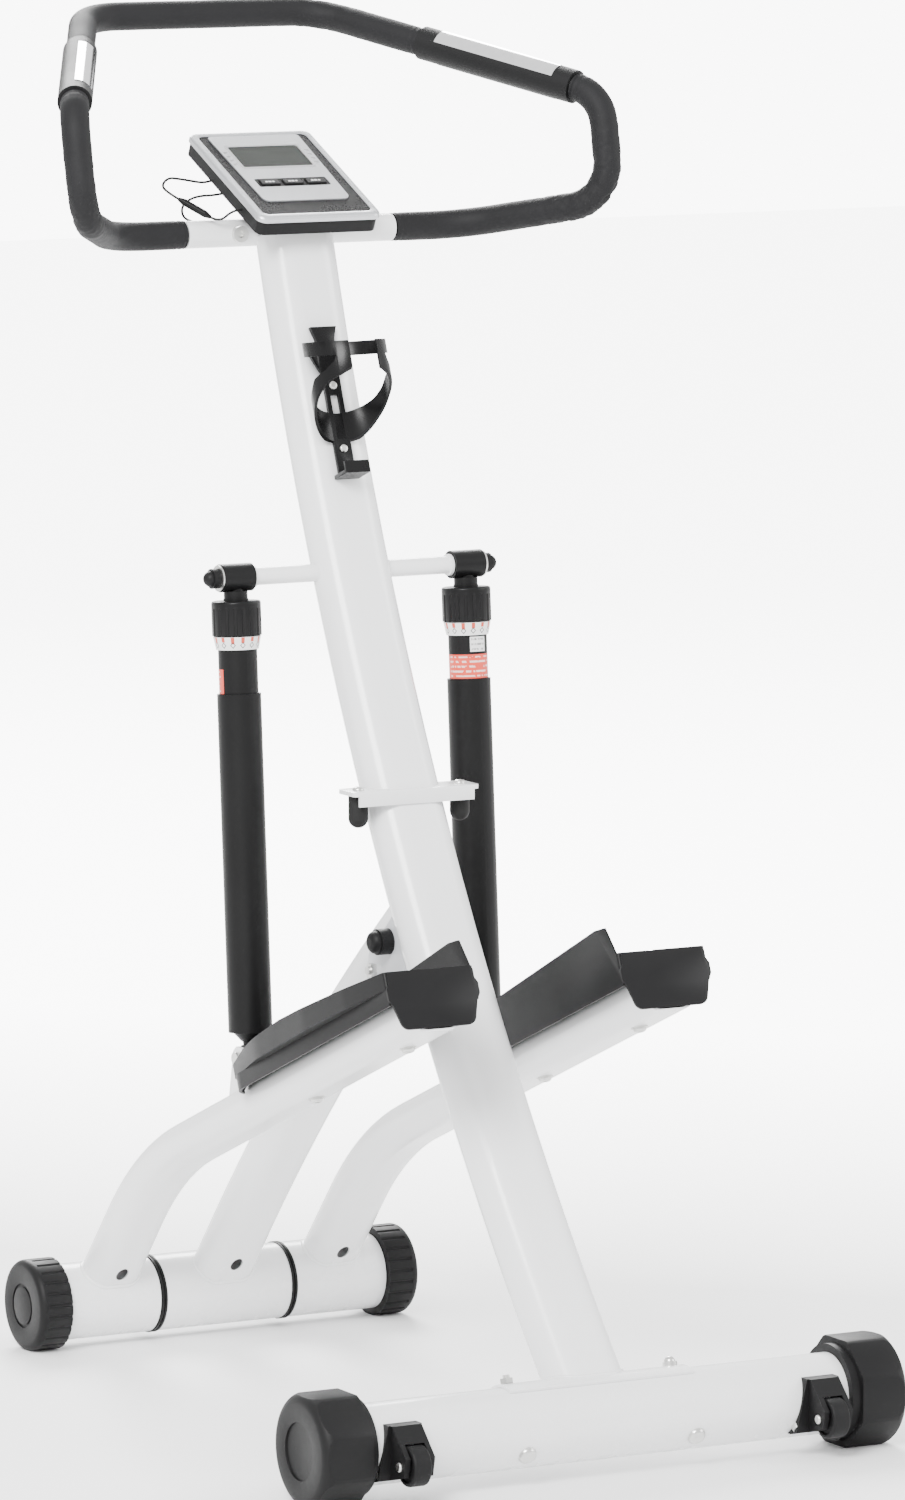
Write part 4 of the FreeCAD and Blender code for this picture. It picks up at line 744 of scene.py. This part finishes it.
for side, sideName in ((1, "Right"), (-1, "Left")):
    turned = labels["turn" + sideName]
    wrapLabel("dialScale" + sideName, side, damper["dialFrom"] + labels["scaleRim"],
              damper["dialTo"] - labels["scaleRim"], damper["dialTop"], damper["dialLow"],
              90.0, 360.0, "dialPrint")
    wrapLabel("warningLabel" + sideName, side, labels["warningFrom"], labels["warningTo"], damper["body"],
              damper["body"], turned, labels["warningSpan"], "redLabel")
    wrapLabel("smallLabel" + sideName, side, labels["smallFrom"], labels["smallTo"], damper["body"],
              damper["body"], turned + labels["smallTurn"], labels["smallSpan"], "whiteLabel")
print("labels made")


# console: a bright line round the window, tick marks beside it and a plain mark on each key
console = {"centre": (0.0, 0.2412, 1.1695), "tilt": 25.4, "panelTop": 0.0006, "windowHalf": 0.039,
           "windowLow": 0.0122, "windowHigh": 0.0548, "line": 0.0022, "lineHeight": 0.0004,
           "tickRows": 4, "tickPitch": 0.0078, "tickX": 0.0445, "tickLow": 0.0205,
           "tickSize": (0.0042, 0.0009), "smallTickSize": (0.00252, 0.00063),
           "smallTickShift": (0.0008, -0.0019),
           "keyX": (-0.025, 0.0, 0.025), "keyY": -0.018, "keyTop": 0.0017, "keyMark": (0.0105, 0.0021),
           "keyDashes": ((-0.34, 0.24), (0.0, 0.3), (0.36, 0.2)), "inkHeight": 0.0002}
consolePlace = Matrix.Translation(console["centre"]) @ Matrix.Rotation(math.radians(console["tilt"]), 4, "X")


def bars(name, spots, body, finish):
    # thin raised bars on the console's face, each given as x, y, z, width, height and thickness
    shape = bmesh.new()
    for x, y, z, width, height, thick in spots:
        bmesh.ops.create_cube(shape, size=1.0, matrix=Matrix.Translation((x, y, z))
                              @ Matrix.Diagonal((width, height, thick, 1.0)))
    shape.transform(consolePlace)
    mesh = bpy.data.meshes.new(name)
    shape.to_mesh(mesh)
    shape.free()
    return addPiece(name, mesh, body, finish)


middle = (console["windowLow"] + console["windowHigh"]) / 2
tall = console["windowHigh"] - console["windowLow"]
line = console["line"]
wide = 2 * console["windowHalf"]
top = console["panelTop"]
frameBars = [(side * console["windowHalf"], middle, top, line, tall + line, console["lineHeight"])
             for side in (-1, 1)]
frameBars += [(0.0, y, top, wide - line, line, console["lineHeight"])
              for y in (console["windowLow"], console["windowHigh"])]
bars("windowLine", frameBars, "frame", "chrome")
ink = console["inkHeight"]
shiftX, shiftY = console["smallTickShift"]
ticks = []
for side in (-1, 1):
    for row in range(console["tickRows"]):
        y = console["tickLow"] + row * console["tickPitch"]
        ticks.append((side * console["tickX"], y, top, *console["tickSize"], ink))
        ticks.append((side * (console["tickX"] + shiftX), y + shiftY, top, *console["smallTickSize"], ink))
bars("panelTicks", ticks, "frame", "tickInk")
markWide, markHigh = console["keyMark"]
for keyName, x in zip(("left", "middle", "right"), console["keyX"]):
    mark = [(x + markWide * shift, console["keyY"], console["keyTop"], markWide * share, markHigh, ink)
            for shift, share in console["keyDashes"]]
    bars("keyMark_" + keyName, mark, "button_" + keyName, "markInk")
print("console marks made")


# the three thin leads beside the console
leadDiameter = 0.0024
leads = {
    "sensorLead": {
        "node": "sensor_lead", "length": 0.110, "farEnd": "connector", "carries": ["lead_plug"],
        "route": [(-0.045, 0.2775, 1.1629), (-0.058, 0.2775, 1.1629), (-0.072, 0.2742, 1.1605),
                  (-0.0886, 0.2692, 1.1635), (-0.103, 0.2645, 1.166), (-0.118, 0.259, 1.168),
                  (-0.129, 0.252, 1.1605), (-0.1222, 0.2449, 1.1528), (-0.1158, 0.2403, 1.1484)]},
    "columnLead": {
        "node": "column_lead", "length": 0.035, "farEnd": "object", "carries": [],
        "route": [(-0.0909, 0.2221, 1.1312), (-0.0838, 0.217, 1.1263), (-0.074, 0.2079, 1.1382),
                  (-0.065, 0.2079, 1.1382)]},
    "pulseLead": {
        "node": "pulse_lead", "length": 0.089, "farEnd": "object", "carries": [],
        "route": [(-0.045, 0.254, 1.1518), (-0.057, 0.254, 1.1518), (-0.07, 0.255, 1.1497),
                  (-0.084, 0.256, 1.1495), (-0.095, 0.257, 1.147), (-0.1045, 0.257, 1.1395),
                  (-0.1035, 0.256, 1.1295), (-0.0965, 0.2505, 1.125), (-0.091, 0.2443, 1.1238)]},
}


def addLead(name, points, diameter):
    curve = bpy.data.curves.new(name, "CURVE")
    curve.dimensions = "3D"
    curve.bevel_depth = diameter / 2
    curve.bevel_resolution = 5
    curve.resolution_u = 24
    curve.use_fill_caps = True
    spline = curve.splines.new("NURBS")
    spline.points.add(len(points) - 1)
    for knot, point in zip(spline.points, points):
        knot.co = (*point, 1)
    spline.order_u = 3
    spline.use_endpoint_u = True
    lead = bpy.data.objects.new(name, curve)
    scene.collection.objects.link(lead)
    lead.data.materials.append(finishes["leadJacket"])
    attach(lead, "frame")
    return lead


for name, spec in leads.items():
    lead = addLead(name, spec["route"], leadDiameter)
    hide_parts(spec["node"])
print("leads laid")


# a pale floor with painted light: away from the machine it glows, for the camera only, and so fades into the
# backdrop
ground = {"half": 14.0, "colour": (0.93, 0.93, 0.93, 1), "rough": 0.6, "glow": 6.0, "glowFrom": 0.9,
          "glowRise": 0.45}
half = ground["half"]
corners = [(-half, -half, 0), (half, -half, 0), (half, half, 0), (-half, half, 0)]
floorMesh = bpy.data.meshes.new("floor")
floorMesh.from_pydata(corners, [], [(0, 1, 2, 3)])
floor = bpy.data.objects.new("floor", floorMesh)
scene.collection.objects.link(floor)
floorShade = Shade("floorPale")
spot = floorShade.place()
away = abs(floorShade.axis(spot, 0)) + abs(floorShade.axis(spot, 1)) - ground["glowFrom"]
# painted light: the floor's glow grows with distance from the machine and is seen by the camera only
paintedGlow = (away * ground["glowRise"]).held() * floorShade.node("ShaderNodeLightPath")
floorShade.set(Base_Color=ground["colour"], Roughness=ground["rough"], Emission_Strength=ground["glow"],
               Emission_Color=floorShade.blend(paintedGlow, (0, 0, 0, 1), (1, 1, 1, 1)))
floorMesh.materials.append(floorShade.material)
